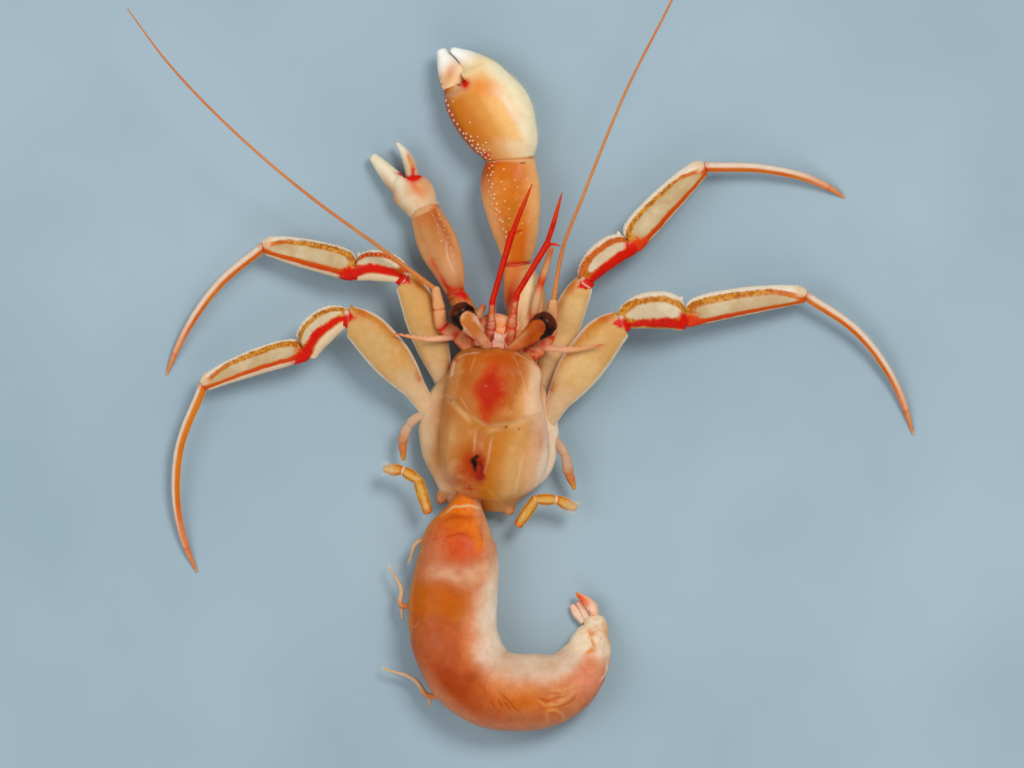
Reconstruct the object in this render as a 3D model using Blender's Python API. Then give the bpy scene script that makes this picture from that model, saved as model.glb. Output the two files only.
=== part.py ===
"""A life-size hermit crab (Strobopagurus), out of its shell and lying on its belly.

Frame: +Y is towards the head, +X is the animal's right, +Z is up. The floor is z = 0, and the
origin is on the floor under the middle of the shield. Sizes are in millimetres, and build_mesh()
turns them into metres.

Most of the body is made of forms: closed lofts through cross-sections. A row of a form is
(x, y, z, half width, half height) or, where the two sides differ, (x, y, z, front, back, up, down).
The half width runs level across the path, and hand says on which side of it the front lies.
"""

import math

import bmesh
import bpy
import numpy as np
from mathutils import Vector

MM = 0.001
GAP = 0.3            # kept between any two touching nodes
FLOOR_Z = 0.0
RIGHT, LEFT = 1, -1
SIDE_NAMES = {RIGHT: "right", LEFT: "left"}

# Body
SHIELD_FLOOR_Z = 5.0       # level of the thin cut under the shield
SHIELD_TOP_Z = 12.0        # only has to clear the back
CERVICAL_GROOVE = [(-9.0, 0.2), (-3.43, -1.3), (-1.5, -2.65), (0.0, -3.35), (2.2, -2.35), (4.4, -1.0),
                   (9.0, 0.6)]
SHIELD_FRONT_Y = 9.0

# Walking legs: joints along each leg, then the half widths and half thicknesses of its pieces
KNEE_PLAY = 0.62           # half thickness of a leg piece as a share of its half width
LEGS = {
    ("leg2", RIGHT): {
        "joints": [(3.6, -0.6, 1.5), (5.9, 10.13, 3.5), (9.26, 13.95, 3.2), (14.54, 21.12, 2.1),
                   (26.46, 20.47, 0.02)],
        "widths": (1.35, 1.25, 1.30, 0.42),
        "bows": (0.0, 0.42, 0.25),
        "dactyl_elbow": (22.31, 22.69),
    },
    ("leg3", RIGHT): {
        "joints": [(4.6, -2.3, 2.7), (9.45, 7.49, 4.2), (14.81, 8.76, 3.6), (24.54, 11.82, 2.1),
                   (35.22, 1.87, 0.02)],
        "widths": (1.85, 1.55, 1.22, 0.42),
        "bows": (0.30, 0.50, 0.30),
        "dactyl_elbow": (31.99, 9.54),
    },
    ("leg2", LEFT): {
        "joints": [(-3.3, -1.8, 1.5), (-8.56, 8.26, 3.5), (-12.96, 8.32, 3.2), (-20.79, 8.77, 2.1),
                   (-27.12, -2.95, 0.02)],
        "widths": (1.50, 1.28, 1.30, 0.42),
        "bows": (0.15, 0.42, 0.20),
        "dactyl_elbow": (-25.75, 4.36),
    },
    ("leg3", LEFT): {
        "joints": [(-4.8, -2.7, 2.7), (-12.84, 4.38, 4.2), (-16.09, 0.91, 3.6), (-23.92, -3.45, 2.1),
                   (-22.07, -18.85, 0.02)],
        "widths": (1.72, 1.42, 1.12, 0.42),
        "bows": (0.35, 0.50, 0.35),
        "dactyl_elbow": (-26.98, -11.87),
    },
}
# Outlines of the leg pieces: (place along it, share of the half width in front, share behind)
LEG_OUTLINES = {
    "merus": [(0.0, 0.45, 0.45), (0.22, 0.56, 0.56), (0.36, 0.80, 0.80), (0.52, 0.98, 0.98),
              (0.66, 1.0, 1.0), (0.86, 0.86, 0.86), (1.0, 0.68, 0.68)],
    "carpus": [(0.0, 0.56, 0.60), (0.22, 0.86, 0.82), (0.55, 1.0, 1.0), (0.84, 0.88, 0.96),
               (1.0, 0.62, 0.92)],
    "propodus": [(0.0, 0.72, 0.98), (0.1, 0.98, 1.0), (0.3, 1.0, 1.0), (0.65, 0.90, 0.86),
                 (0.88, 0.76, 0.62), (1.0, 0.58, 0.46)],
    "dactyl": [(0.0, 1.0, 1.0), (0.35, 0.92, 0.92), (0.7, 0.78, 0.78), (0.9, 0.56, 0.56),
               (1.0, 0.30, 0.30)],
}
LEG_PIECES = ("merus", "carpus", "propodus", "dactyl")

# Looks
COLOURS = {
    "shell_cream": (0.86, 0.62, 0.38),
    "shell_amber": (0.85, 0.42, 0.12),
    "leg_shell": (0.84, 0.60, 0.38),
    "soft_skin": (0.80, 0.30, 0.14),
    "cornea": (0.03, 0.012, 0.010),
    "eyestalk": (0.66, 0.30, 0.12),
    "red_shell": (0.72, 0.03, 0.01),
    "feeler": (0.78, 0.34, 0.14),
}
ROUGHNESS = {"cornea": 0.12, "soft_skin": 0.30}


def smooth_rows(rows, count):
    """count rows read from a smooth curve through the given rows, evenly spaced along it."""
    rows = np.array(rows, float)
    steps = np.linalg.norm(np.diff(rows[:, :3], axis=0), axis=1)
    knots = np.concatenate([[0.0], np.cumsum(steps)])
    slopes = np.gradient(rows, knots, axis=0) if len(rows) > 2 else np.diff(rows, axis=0) / steps[0]
    out = []
    for place in np.linspace(0.0, knots[-1], count):
        i = min(int(np.searchsorted(knots, place, side="right")) - 1, len(rows) - 2)
        width = knots[i + 1] - knots[i]
        s = (place - knots[i]) / width
        start, end = slopes[min(i, len(slopes) - 1)], slopes[min(i + 1, len(slopes) - 1)]
        out.append((2 * s**3 - 3 * s**2 + 1) * rows[i] + (s**3 - 2 * s**2 + s) * width * start
                   + (3 * s**2 - 2 * s**3) * rows[i + 1] + (s**3 - s**2) * width * end)
    return np.array(out)


def build_mesh(name, points, faces):
    """A closed mesh in metres, with its faces pointing out."""
    bm = bmesh.new()
    verts = [bm.verts.new(Vector(p) * MM) for p in points]
    for face in faces:
        bm.faces.new([verts[i] for i in face])
    bmesh.ops.recalc_face_normals(bm, faces=bm.faces)
    mesh = bpy.data.meshes.new(name)
    bm.to_mesh(mesh)
    bm.free()
    return mesh


def curved(value, power):
    """A sine or cosine bent towards a squarer section as power passes 2."""
    return math.copysign(abs(value) ** (2.0 / power), value)


class Form:
    """A closed loft through cross-sections, with a rounded or flat end at each side."""

    def __init__(self, rows, sides=10, rings=7, hand=RIGHT, power=2.0, domes=(0.4, 0.4), dome_rings=1):
        full = [row if len(row) == 7 else (*row[:3], row[3], row[3], row[4], row[4]) for row in rows]
        self.rows = smooth_rows(full, rings)
        self.sides, self.hand, self.power = sides, hand, power
        self.domes, self.dome_rings = domes, dome_rings

    def directions(self, i):
        """(along, across, up) of ring i."""
        last = len(self.rows) - 1
        along = Vector(self.rows[min(i + 1, last), :3] - self.rows[max(i - 1, 0), :3]).normalized()
        across = Vector((0, 0, 1)).cross(along).normalized() * self.hand
        up = along.cross(across).normalized()
        return along, across, up if up.z > 0 else -up

    def rim(self, i, angle, scale=1.0, shift=0.0, grow=0.0):
        """The point of ring i at an angle: 0 is its front side, and a quarter turn is its top."""
        along, across, up = self.directions(i)
        x, y, z, front, back, high, low = self.rows[i]
        c, s = curved(math.cos(angle), self.power), curved(math.sin(angle), self.power)
        wide = ((front if c > 0 else back) + grow) * c * scale
        tall = ((high if s > 0 else low) + grow) * s * scale
        return Vector((x, y, z)) + across * wide + up * tall + along * shift

    def mesh(self, name, grow=0.0):
        last = len(self.rows) - 1
        stations = []                  # (ring, scale, shift along the path)
        poles = []
        for end, i, way in ((0, 0, -1), (1, last, 1)):
            dome = self.domes[end] + grow
            turns = [math.pi / 2 * (k + 1) / (self.dome_rings + 1) for k in range(self.dome_rings)]
            caps = [(i, math.cos(a), way * dome * math.sin(a)) for a in turns] if dome > 0.01 else []
            stations.append(caps)
            poles.append((i, way * max(dome, 0.0)))
        order = list(reversed(stations[0])) + [(i, 1.0, 0.0) for i in range(last + 1)] + stations[1]
        points = []
        for i, scale, shift in order:
            for k in range(self.sides):
                points.append(self.rim(i, 2 * math.pi * k / self.sides, scale, shift, grow))
        n = self.sides
        faces = [(r * n + k, r * n + (k + 1) % n, (r + 1) * n + (k + 1) % n, (r + 1) * n + k)
                 for r in range(len(order) - 1) for k in range(n)]
        for (i, shift), base in zip(poles, (0, (len(order) - 1) * n)):
            pole = len(points)
            points.append(Vector(self.rows[i, :3]) + self.directions(i)[0] * shift)
            faces += [(base + k, base + (k + 1) % n, pole) for k in range(n)]
        return build_mesh(name, points, faces)


class Ball:
    """An ellipsoid, as a form."""

    def __init__(self, centre, radii, sides=12, bands=7):
        self.centre, self.radii, self.sides, self.bands = Vector(centre), Vector(radii), sides, bands

    def mesh(self, name, grow=0.0):
        radii = self.radii + Vector((grow, grow, grow))
        points, faces, n = [], [], self.sides
        for band in range(1, self.bands):
            polar = math.pi * band / self.bands
            for k in range(n):
                turn = 2 * math.pi * k / n
                way = Vector((math.sin(polar) * math.cos(turn), math.sin(polar) * math.sin(turn),
                              math.cos(polar)))
                points.append(self.centre + way * radii)
        for band in range(self.bands - 2):
            for k in range(n):
                faces.append((band * n + k, band * n + (k + 1) % n, (band + 1) * n + (k + 1) % n,
                              (band + 1) * n + k))
        for polar_z, base in ((1, 0), (-1, (self.bands - 2) * n)):
            pole = len(points)
            points.append(self.centre + Vector((0, 0, polar_z)) * radii)
            faces += [(base + k, base + (k + 1) % n, pole) for k in range(n)]
        return build_mesh(name, points, faces)


class Spine:
    """A small cone with its root sunk in what it grows from."""

    def __init__(self, root, way, radius, height, sides=5):
        self.root, self.way = Vector(root), Vector(way).normalized()
        self.radius, self.height, self.sides = radius, height, sides

    def mesh(self, name, grow=0.0):
        side = self.way.orthogonal().normalized()
        other = self.way.cross(side)
        foot = self.root - self.way * (self.height * 0.6 + grow)
        points = []
        for k in range(self.sides):
            turn = 2 * math.pi * k / self.sides
            points.append(foot + (side * math.cos(turn) + other * math.sin(turn)) * (self.radius + grow))
        points += [foot, self.root + self.way * (self.height + grow)]
        base, tip = self.sides, self.sides + 1
        faces = []
        for k in range(self.sides):
            after = (k + 1) % self.sides
            faces += [(k, after, tip), (after, k, base)]
        return build_mesh(name, points, faces)


class Block:
    """A level prism over an outline, from one height to another."""

    def __init__(self, outline, low, high):
        self.outline, self.low, self.high = outline, low, high

    def mesh(self, name, grow=0.0):
        n = len(self.outline)
        middle = Vector((sum(p[0] for p in self.outline) / n, sum(p[1] for p in self.outline) / n))
        points = []
        for z in (self.low - grow, self.high + grow):
            for i, p in enumerate(self.outline):
                before, after = Vector(self.outline[i - 1]), Vector(self.outline[(i + 1) % n])
                out = Vector(((after - before).y, -(after - before).x)).normalized()
                if out.dot(Vector(p) - middle) < 0:
                    out.negate()
                points.append((p[0] + out.x * grow, p[1] + out.y * grow, z))
        faces = [tuple(range(n)), tuple(range(n, 2 * n))]
        faces += [(i, (i + 1) % n, n + (i + 1) % n, n + i) for i in range(n)]
        return build_mesh(name, points, faces)


def material(slot):
    found = bpy.data.materials.get(slot)
    if found:
        return found
    made = bpy.data.materials.new(slot)
    made.use_nodes = True
    shader = made.node_tree.nodes["Principled BSDF"]
    shader.inputs["Base Color"].default_value = (*COLOURS[slot], 1.0)
    shader.inputs["Roughness"].default_value = ROUGHNESS.get(slot, 0.38)
    shader.inputs["Metallic"].default_value = 0.0
    return made


def helper(form, grow=0.0):
    """An unseen object that a Boolean reads."""
    obj = bpy.data.objects.new("helper", form.mesh("helper", grow))
    bpy.context.scene.collection.objects.link(obj)
    obj.hide_render = True
    obj.display_type = "WIRE"
    return obj


def apply_boolean(obj, operation, others):
    """Joins or cuts obj with the helper objects, which are removed."""
    group = bpy.data.collections.new("helpers")
    for other in others:
        group.objects.link(other)
    modifier = obj.modifiers.new("combine", "BOOLEAN")
    modifier.operation = operation
    modifier.solver = "EXACT"
    modifier.operand_type = "COLLECTION"
    modifier.collection = group
    graph = bpy.context.evaluated_depsgraph_get()
    mesh = bpy.data.meshes.new_from_object(obj.evaluated_get(graph))
    obj.modifiers.clear()
    obj.data = mesh
    for other in others:
        bpy.data.objects.remove(other)
    bpy.data.collections.remove(group)


def keep_largest(bm):
    """Deletes every closed surface but the largest."""
    unseen, shells = set(bm.faces), []
    while unseen:
        front = [unseen.pop()]
        shell = set(front)
        while front:
            face = front.pop()
            for edge in face.edges:
                for other in edge.link_faces:
                    if other in unseen:
                        unseen.discard(other)
                        shell.add(other)
                        front.append(other)
        shells.append(shell)
    largest = max(shells, key=lambda shell: sum(face.calc_area() for face in shell))
    loose = [face for shell in shells if shell is not largest for face in shell]
    bmesh.ops.delete(bm, geom=loose, context="FACES")


def clip(bm, point, way):
    """Cuts off what lies past a plane, and closes the cut with a flat face."""
    geometry = bm.verts[:] + bm.edges[:] + bm.faces[:]
    cut = bmesh.ops.bisect_plane(bm, geom=geometry, plane_co=Vector(point) * MM, plane_no=Vector(way),
                                 clear_outer=True, dist=1e-7)
    edges = [e for e in cut["geom_cut"] if isinstance(e, bmesh.types.BMEdge) and e.is_boundary]
    if edges:
        bmesh.ops.edgeloop_fill(bm, edges=edges)


NODES = {}      # node name: the forms that it is made of


def add_node(name, slot, forms, clear_of=(), clips=(), cutters=(), on_floor=False):
    """Makes a node: joins its forms, cuts it clear of other nodes, and clips it with planes."""
    obj = bpy.data.objects.new(name, forms[0].mesh(name))
    bpy.context.scene.collection.objects.link(obj)
    if len(forms) > 1:
        apply_boolean(obj, "UNION", [helper(form) for form in forms[1:]])
    neighbours = [helper(form, GAP) for other in clear_of for form in NODES[other]]
    neighbours += [helper(form) for form in cutters]
    if neighbours:
        apply_boolean(obj, "DIFFERENCE", neighbours)
    bm = bmesh.new()
    bm.from_mesh(obj.data)
    for point, way in clips:
        clip(bm, point, way)
    if on_floor:
        clip(bm, (0, 0, FLOOR_Z), (0, 0, -1))
    keep_largest(bm)
    bmesh.ops.triangulate(bm, faces=[f for f in bm.faces if len(f.verts) > 4])
    bmesh.ops.recalc_face_normals(bm, faces=bm.faces)
    bm.to_mesh(obj.data)
    bm.free()
    obj.data.materials.clear()
    obj.data.materials.append(material(slot))
    obj.data.shade_smooth()
    obj.data.set_sharp_from_angle(angle=math.radians(50))
    NODES[name] = forms
    return obj


# Body

UPPER_BODY = Form(
    [(0.0, 3.3, 3.5, 2.7, 2.7, 2.5, 2.6), (0.0, 2.4, 3.5, 3.55, 3.65, 3.1, 3.2),
     (0.0, 0.5, 3.5, 3.9, 4.0, 3.5, 3.5), (0.0, -2.4, 3.5, 4.0, 5.0, 3.5, 3.5),
     (0.0, -5.2, 3.4, 3.8, 5.5, 3.2, 3.4), (-0.1, -7.4, 3.2, 3.2, 4.7, 2.6, 3.2),
     (-0.2, -8.6, 3.0, 1.9, 3.0, 1.7, 2.6)],
    sides=20, rings=13, hand=LEFT, power=2.5, domes=(0.45, 0.45), dome_rings=2)
LOWER_BODY = Form(
    [(0.0, 2.4, 2.0, 3.0, 3.1, 1.8, 2.1), (0.0, 0.6, 2.1, 4.3, 4.5, 2.0, 2.2),
     (0.0, -1.6, 2.1, 5.5, 5.7, 2.3, 2.2), (0.0, -4.0, 2.1, 5.7, 6.2, 2.4, 2.2),
     (0.0, -6.6, 2.0, 4.8, 5.6, 2.0, 2.1), (0.0, -8.6, 1.7, 3.4, 3.8, 1.5, 1.8),
     (0.0, -9.7, 1.3, 2.6, 2.8, 0.9, 1.4)],
    sides=18, rings=11, hand=LEFT, power=2.2, domes=(0.4, 0.35), dome_rings=1)
LAST_COXAE = {LEFT: Ball((-3.0, -9.9, 2.0), (0.75, 0.8, 0.75), sides=9, bands=5),
              RIGHT: Ball((3.0, -9.9, 2.0), (0.75, 0.8, 0.75), sides=9, bands=5)}
SHIELD_BLOCK = Block([*CERVICAL_GROOVE, (9.0, SHIELD_FRONT_Y), (-9.0, SHIELD_FRONT_Y)],
                     SHIELD_FLOOR_Z, SHIELD_TOP_Z)


def grown_block(block, grow):
    """The block pushed out by grow, as a form of its own."""
    class Grown:
        def mesh(self, name, extra=0.0):
            return block.mesh(name, grow + extra)
    return Grown()


def make_body():
    body_forms = [UPPER_BODY, LOWER_BODY, LAST_COXAE[LEFT], LAST_COXAE[RIGHT]]
    add_node("thorax", "shell_cream", body_forms, cutters=[grown_block(SHIELD_BLOCK, GAP)], on_floor=True)
    shield = add_node("shield", "shell_cream", [UPPER_BODY])
    apply_boolean(shield, "INTERSECT", [helper(SHIELD_BLOCK)])


# Head

CORNEAS = {LEFT: (-3.5, 5.78, 5.7), RIGHT: (3.34, 6.05, 5.7)}


def make_eye(side):
    base = Vector((0.95 * side, 3.45, 4.7))
    cornea = Vector(CORNEAS[side])
    way = (cornea - base).normalized()
    name = SIDE_NAMES[side]
    stalk_end = base + way * ((cornea - base).length + 0.1)
    rows = [(*base, 0.45, 0.42), (*base.lerp(stalk_end, 0.35), 0.56, 0.50),
            (*base.lerp(stalk_end, 0.7), 0.80, 0.72), (*stalk_end, 0.98, 0.88)]
    edge = cornea - way * 0.35
    add_node(f"eyestalk_{name}", "eyestalk", [Form(rows, sides=12, rings=6, hand=side, domes=(0.2, 0.3))],
             clear_of=("thorax", "shield"), clips=[(edge - way * GAP / 2, way)])
    globe = [(*(cornea - way * 0.6), 0.95, 0.88), (*(cornea - way * 0.1), 1.12, 1.02),
             (*(cornea + way * 0.4), 0.98, 0.90)]
    add_node(f"cornea_{name}", "cornea",
             [Form(globe, sides=14, rings=5, hand=side, domes=(0.3, 0.62), dome_rings=3)],
             clips=[(edge + way * GAP / 2, -way)])


def make_ocular_acicles():
    plate = Form([(0.0, 3.9, 4.9, 0.35, 0.25), (0.0, 4.5, 4.9, 0.35, 0.25)], sides=8, rings=3)
    spines = [Spine((0.22 * side, 4.6, 4.95), (0.35 * side, 1.0, 0.05), 0.26, 0.55) for side in (LEFT, RIGHT)]
    add_node("ocular_acicles", "eyestalk", [plate, *spines],
             clear_of=("thorax", "shield", "eyestalk_left", "eyestalk_right"))


ANTENNULES = {   # basal pieces, then the long last piece, then the tips of the upper and lower branch
    LEFT: {"basal": [(-0.85, 3.3, 3.5), (-0.95, 4.9, 3.9), (-1.2, 7.3, 4.7)],
           "last": (-0.48, 13.17, 6.7), "upper": (0.54, 17.38, 7.9), "lower": (0.35, 13.5, 6.5)},
    RIGHT: {"basal": [(0.65, 3.3, 3.5), (0.70, 5.2, 3.9), (0.72, 8.2, 4.8)],
            "last": (2.61, 12.82, 6.5), "upper": (3.11, 17.11, 7.7), "lower": (3.7, 12.7, 6.3)},
}


def make_antennule(side):
    name, joints = SIDE_NAMES[side], ANTENNULES[side]
    first, second, third = (Vector(p) for p in joints["basal"])
    last = Vector(joints["last"])
    stem = Form([(*first, 0.52, 0.50), (*second, 0.50, 0.45), (*third, 0.30, 0.30)],
                sides=8, rings=5, domes=(0.2, 0.3))
    bend = ((third - second).normalized() + (last - third).normalized()).normalized()
    add_node(f"antennule_{name}_base", "feeler", [stem],
             clear_of=("thorax", "shield", f"eyestalk_{name}", "ocular_acicles"),
             clips=[(third - bend * GAP / 2, bend)])
    rod = Form([(*third, 0.25, 0.25), (*third.lerp(last, 0.5), 0.27, 0.27), (*last, 0.27, 0.27)],
               sides=8, rings=4, domes=(0.25, 0.1))
    upper, lower = Vector(joints["upper"]), Vector(joints["lower"])
    lash = Form([(*last.lerp(third, 0.06), 0.27, 0.27), (*last.lerp(upper, 0.35), 0.27, 0.27),
                 (*last.lerp(upper, 0.8), 0.22, 0.22), (*upper, 0.10, 0.10)],
                sides=8, rings=6, domes=(0.1, 0.1))
    branch = Form([(*last.lerp(third, 0.03), 0.22, 0.22), (*last.lerp(lower, 0.5), 0.2, 0.2),
                   (*lower, 0.10, 0.10)], sides=6, rings=3, domes=(0.1, 0.1))
    add_node(f"antennule_{name}_lash", "red_shell", [rod, lash, branch],
             clips=[(third + bend * GAP / 2, -bend)])


ANTENNAE = {
    LEFT: {"base": (-2.2, 3.1, 3.3), "hip": (-3.5, 4.0, 3.4), "elbow": (-5.05, 4.7, 3.9),
           "wrist": (-6.0, 7.5, 4.5), "acicle": [(-5.9, 3.35, 4.3), (-8.8, 3.33, 4.9)],
           "lash": [(-10.74, 10.03, 5.6), (-17.4, 13.44, 6.9), (-24.22, 17.59, 7.6),
                    (-31.22, 22.9, 7.9), (-34.9, 26.5, 8.0)]},
    RIGHT: {"base": (2.2, 3.1, 3.3), "hip": (3.3, 4.1, 3.4), "elbow": (3.95, 5.6, 3.9),
            "wrist": (3.8, 8.0, 4.5), "acicle": [(6.2, 4.4, 5.35), (8.47, 5.14, 5.7)],
            "lash": [(3.9, 12.46, 5.6), (4.93, 17.32, 6.5), (7.16, 26.7, 7.4), (9.65, 34.43, 7.9),
                     (11.5, 41.2, 8.0)]},
}
LASH_RADII = (0.34, 0.31, 0.28, 0.26, 0.25, 0.12)


def make_antenna(side):
    name, parts = SIDE_NAMES[side], ANTENNAE[side]
    base, hip, elbow, wrist = (Vector(parts[key]) for key in ("base", "hip", "elbow", "wrist"))
    stem = Form([(*base, 0.75, 0.55), (*hip, 0.62, 0.50), (*elbow, 0.44, 0.40), (*wrist, 0.34, 0.33)],
                sides=9, rings=8, hand=side, domes=(0.3, 0.3))
    first, tip = (Vector(p) for p in parts["acicle"])
    acicle = Form([(*hip, 0.36, 0.34), (*first, 0.28, 0.27), (*tip, 0.10, 0.10)],
                  sides=7, rings=6, hand=side, domes=(0.1, 0.1))
    lash_start = Vector(parts["lash"][0])
    bend = ((wrist - elbow).normalized() + (lash_start - wrist).normalized()).normalized()
    add_node(f"antenna_{name}_base", "feeler", [stem, acicle],
             clear_of=("thorax", "shield", f"eyestalk_{name}", f"cornea_{name}",
                       f"antennule_{name}_base"),
             clips=[(wrist - bend * GAP / 2, bend)])
    points = [wrist, *parts["lash"]]
    rows = [(*p, r, r) for p, r in zip(points, LASH_RADII)]
    add_node(f"antenna_{name}_lash", "feeler", [Form(rows, sides=7, rings=18, domes=(0.3, 0.15))],
             clips=[(wrist + bend * GAP / 2, -bend)])


MAXILLIPEDS = {
    LEFT: [(-0.9, 3.2, 2.6), (-1.7, 4.7, 3.2), (-2.2, 5.8, 3.5), (-1.9, 6.7, 3.4)],
    RIGHT: [(1.9, 3.2, 2.7), (2.35, 5.6, 3.75), (2.45, 8.4, 4.35), (2.95, 12.3, 4.7)],
}


def make_maxilliped(side):
    name = SIDE_NAMES[side]
    radii = (0.40, 0.38, 0.36, 0.24)
    rows = [(*p, r, r) for p, r in zip(MAXILLIPEDS[side], radii)]
    add_node(f"maxilliped_{name}", "feeler", [Form(rows, sides=8, rings=7, domes=(0.2, 0.25))],
             clear_of=("thorax", "shield", f"antenna_{name}_base", f"antennule_{name}_base"))


# Chelipeds

CLAWS = {
    RIGHT: {
        "merus": [(2.0, 2.4, 2.0, 1.25, 1.25), (2.05, 5.6, 2.0, 1.60, 1.45), (1.3, 8.3, 2.0, 1.70, 1.55),
                  (0.35, 10.7, 2.1, 1.15, 1.2)],
        "carpus": [(0.35, 10.7, 2.1, 1.12, 1.2), (0.0, 12.6, 2.25, 1.72, 1.65),
                   (-0.68, 15.0, 2.4, 2.28, 2.05), (-1.28, 17.2, 2.45, 2.48, 2.15),
                   (-1.52, 19.2, 2.4, 2.05, 1.9)],
        "hand": [(-1.47, 19.2, 2.4, 2.05, 2.0, 1.85, 1.9), (-2.05, 20.55, 2.4, 2.6, 2.7, 2.3, 2.4),
                 (-2.95, 21.75, 2.4, 2.95, 3.3, 2.5, 2.6), (-4.2, 23.2, 2.35, 3.1, 3.45, 2.45, 2.5),
                 (-5.3, 24.55, 2.25, 2.9, 2.95, 2.2, 2.25), (-6.0, 25.4, 2.15, 2.45, 2.45, 1.8, 2.0)],
        "fixed": [(-3.3, 24.2, 2.3, 1.7, 1.9), (-4.5, 25.7, 2.2, 1.45, 1.6),
                  (-6.05, 26.7, 2.1, 0.95, 1.15), (-7.7, 27.35, 2.0, 0.42, 0.5)],
        "dactyl": [(-6.95, 23.9, 2.3, 0.98, 1.1), (-7.6, 25.2, 2.3, 0.95, 1.1),
                   (-8.2, 26.3, 2.2, 0.68, 0.85), (-8.68, 27.25, 2.1, 0.30, 0.4)],
        "hinge": ((-7.14, 24.54, 2.3), (-0.42, 0.91, 0.0)),
        "gape": [(-9.6, 23.41), (-6.22, 24.97), (-8.38, 27.42), (-9.2, 28.5), (-11.0, 28.0)],
    },
    LEFT: {
        "merus": [(-1.3, 2.4, 1.9, 0.90, 0.95), (-2.5, 4.9, 1.95, 1.02, 1.0), (-4.4, 7.6, 2.0, 0.80, 0.85)],
        "carpus": [(-4.4, 7.6, 2.0, 0.80, 0.85), (-5.1, 9.1, 2.0, 1.22, 1.2), (-6.4, 11.15, 1.95, 1.52, 1.4),
                   (-7.85, 13.6, 1.8, 1.22, 1.15)],
        "hand": [(-7.85, 13.6, 1.7, 1.20, 1.1), (-8.5, 14.6, 1.5, 1.60, 1.4),
                 (-9.35, 15.55, 1.4, 1.74, 1.55), (-10.0, 16.2, 1.35, 1.35, 1.3)],
        "fixed": [(-9.9, 15.45, 1.3, 1.0, 1.15), (-11.0, 16.1, 1.25, 0.76, 0.85),
                  (-12.1, 16.98, 1.15, 0.52, 0.6), (-12.95, 17.68, 1.05, 0.28, 0.32)],
        "dactyl": [(-9.35, 16.2, 1.6, 0.60, 0.7), (-9.7, 17.3, 1.6, 0.52, 0.62),
                   (-10.35, 18.35, 1.5, 0.38, 0.45), (-10.95, 18.95, 1.4, 0.2, 0.22)],
        "hinge": ((-9.5, 16.45, 1.6), (-0.3, 0.95, 0.0)),
        "gape": [(-10.1, 16.3), (-8.0, 16.55), (-8.0, 20.0), (-12.0, 20.0), (-11.0, 17.35)],
    },
}
PALM_BEADS = {RIGHT: 11, LEFT: 0}


def beads(form, angle, start, end, count, radius, height):
    """A row of small spines along a form, at one angle round it."""
    last = len(form.rows) - 1
    found = []
    for k in range(count):
        place = (start + (end - start) * k / max(count - 1, 1)) * last
        i = int(place)
        root = form.rim(i, angle).lerp(form.rim(min(i + 1, last), angle), place - i)
        centre = Vector(form.rows[i, :3]).lerp(Vector(form.rows[min(i + 1, last), :3]), place - i)
        found.append(Spine(root, root - centre, radius, height))
    return found


def make_cheliped(side):
    name, claw = SIDE_NAMES[side], CLAWS[side]
    elbow, wrist = Vector(claw["carpus"][0][:3]), Vector(claw["carpus"][-1][:3])
    before = elbow - Vector(claw["merus"][-2][:3])
    after = Vector(claw["carpus"][1][:3]) - elbow
    bend = (before.normalized() + after.normalized()).normalized()
    turn = ((wrist - Vector(claw["carpus"][-2][:3])).normalized()
            + (Vector(claw["hand"][1][:3]) - wrist).normalized()).normalized()
    heads = ("thorax", "shield", f"antenna_{name}_base", f"maxilliped_{name}", f"antennule_{name}_base")
    add_node(f"cheliped_{name}_merus", "shell_cream",
             [Form(claw["merus"], sides=12, rings=7, hand=side, domes=(0.3, 0.6))],
             clear_of=heads, clips=[(elbow - bend * GAP / 2, bend)])
    wrist_form = Form(claw["carpus"], sides=14, rings=9, hand=side, power=2.3, domes=(0.6, 0.5))
    rows = beads(wrist_form, math.radians(56), 0.25, 0.9, 7, 0.22, 0.2) if side == RIGHT else []
    add_node(f"cheliped_{name}_carpus", "shell_amber", [wrist_form, *rows],
             clips=[(elbow + bend * GAP / 2, -bend), (wrist - turn * GAP / 2, turn)], on_floor=True)
    hinge, hinge_way = Vector(claw["hinge"][0]), Vector(claw["hinge"][1]).normalized()
    finger = Form(claw["dactyl"], sides=10, rings=7, hand=side, domes=(0.5, 0.25))
    add_node(f"cheliped_{name}_dactyl", "shell_cream", [finger],
             clips=[(hinge + hinge_way * GAP / 2, -hinge_way)])
    hand = Form(claw["hand"], sides=16, rings=9, hand=side, power=2.2, domes=(0.5, 0.8), dome_rings=2)
    fixed = Form(claw["fixed"], sides=12, rings=7, hand=side, domes=(0.4, 0.3))
    rows = []
    if PALM_BEADS[side]:
        rows = (beads(hand, math.radians(12), 0.06, 0.86, PALM_BEADS[side], 0.24, 0.24)
                + beads(hand, math.radians(38), 0.1, 0.62, PALM_BEADS[side] // 2, 0.22, 0.18))
    add_node(f"cheliped_{name}_palm", "shell_amber" if side == RIGHT else "shell_cream",
             [hand, fixed, *rows], clear_of=(f"cheliped_{name}_dactyl",),
             cutters=[Block(claw["gape"], -1.0, 9.0)],
             clips=[(wrist + turn * GAP / 2, -turn)], on_floor=True)


# Walking legs

def between(a, b, t):
    return Vector(a).lerp(Vector(b), t)


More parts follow.
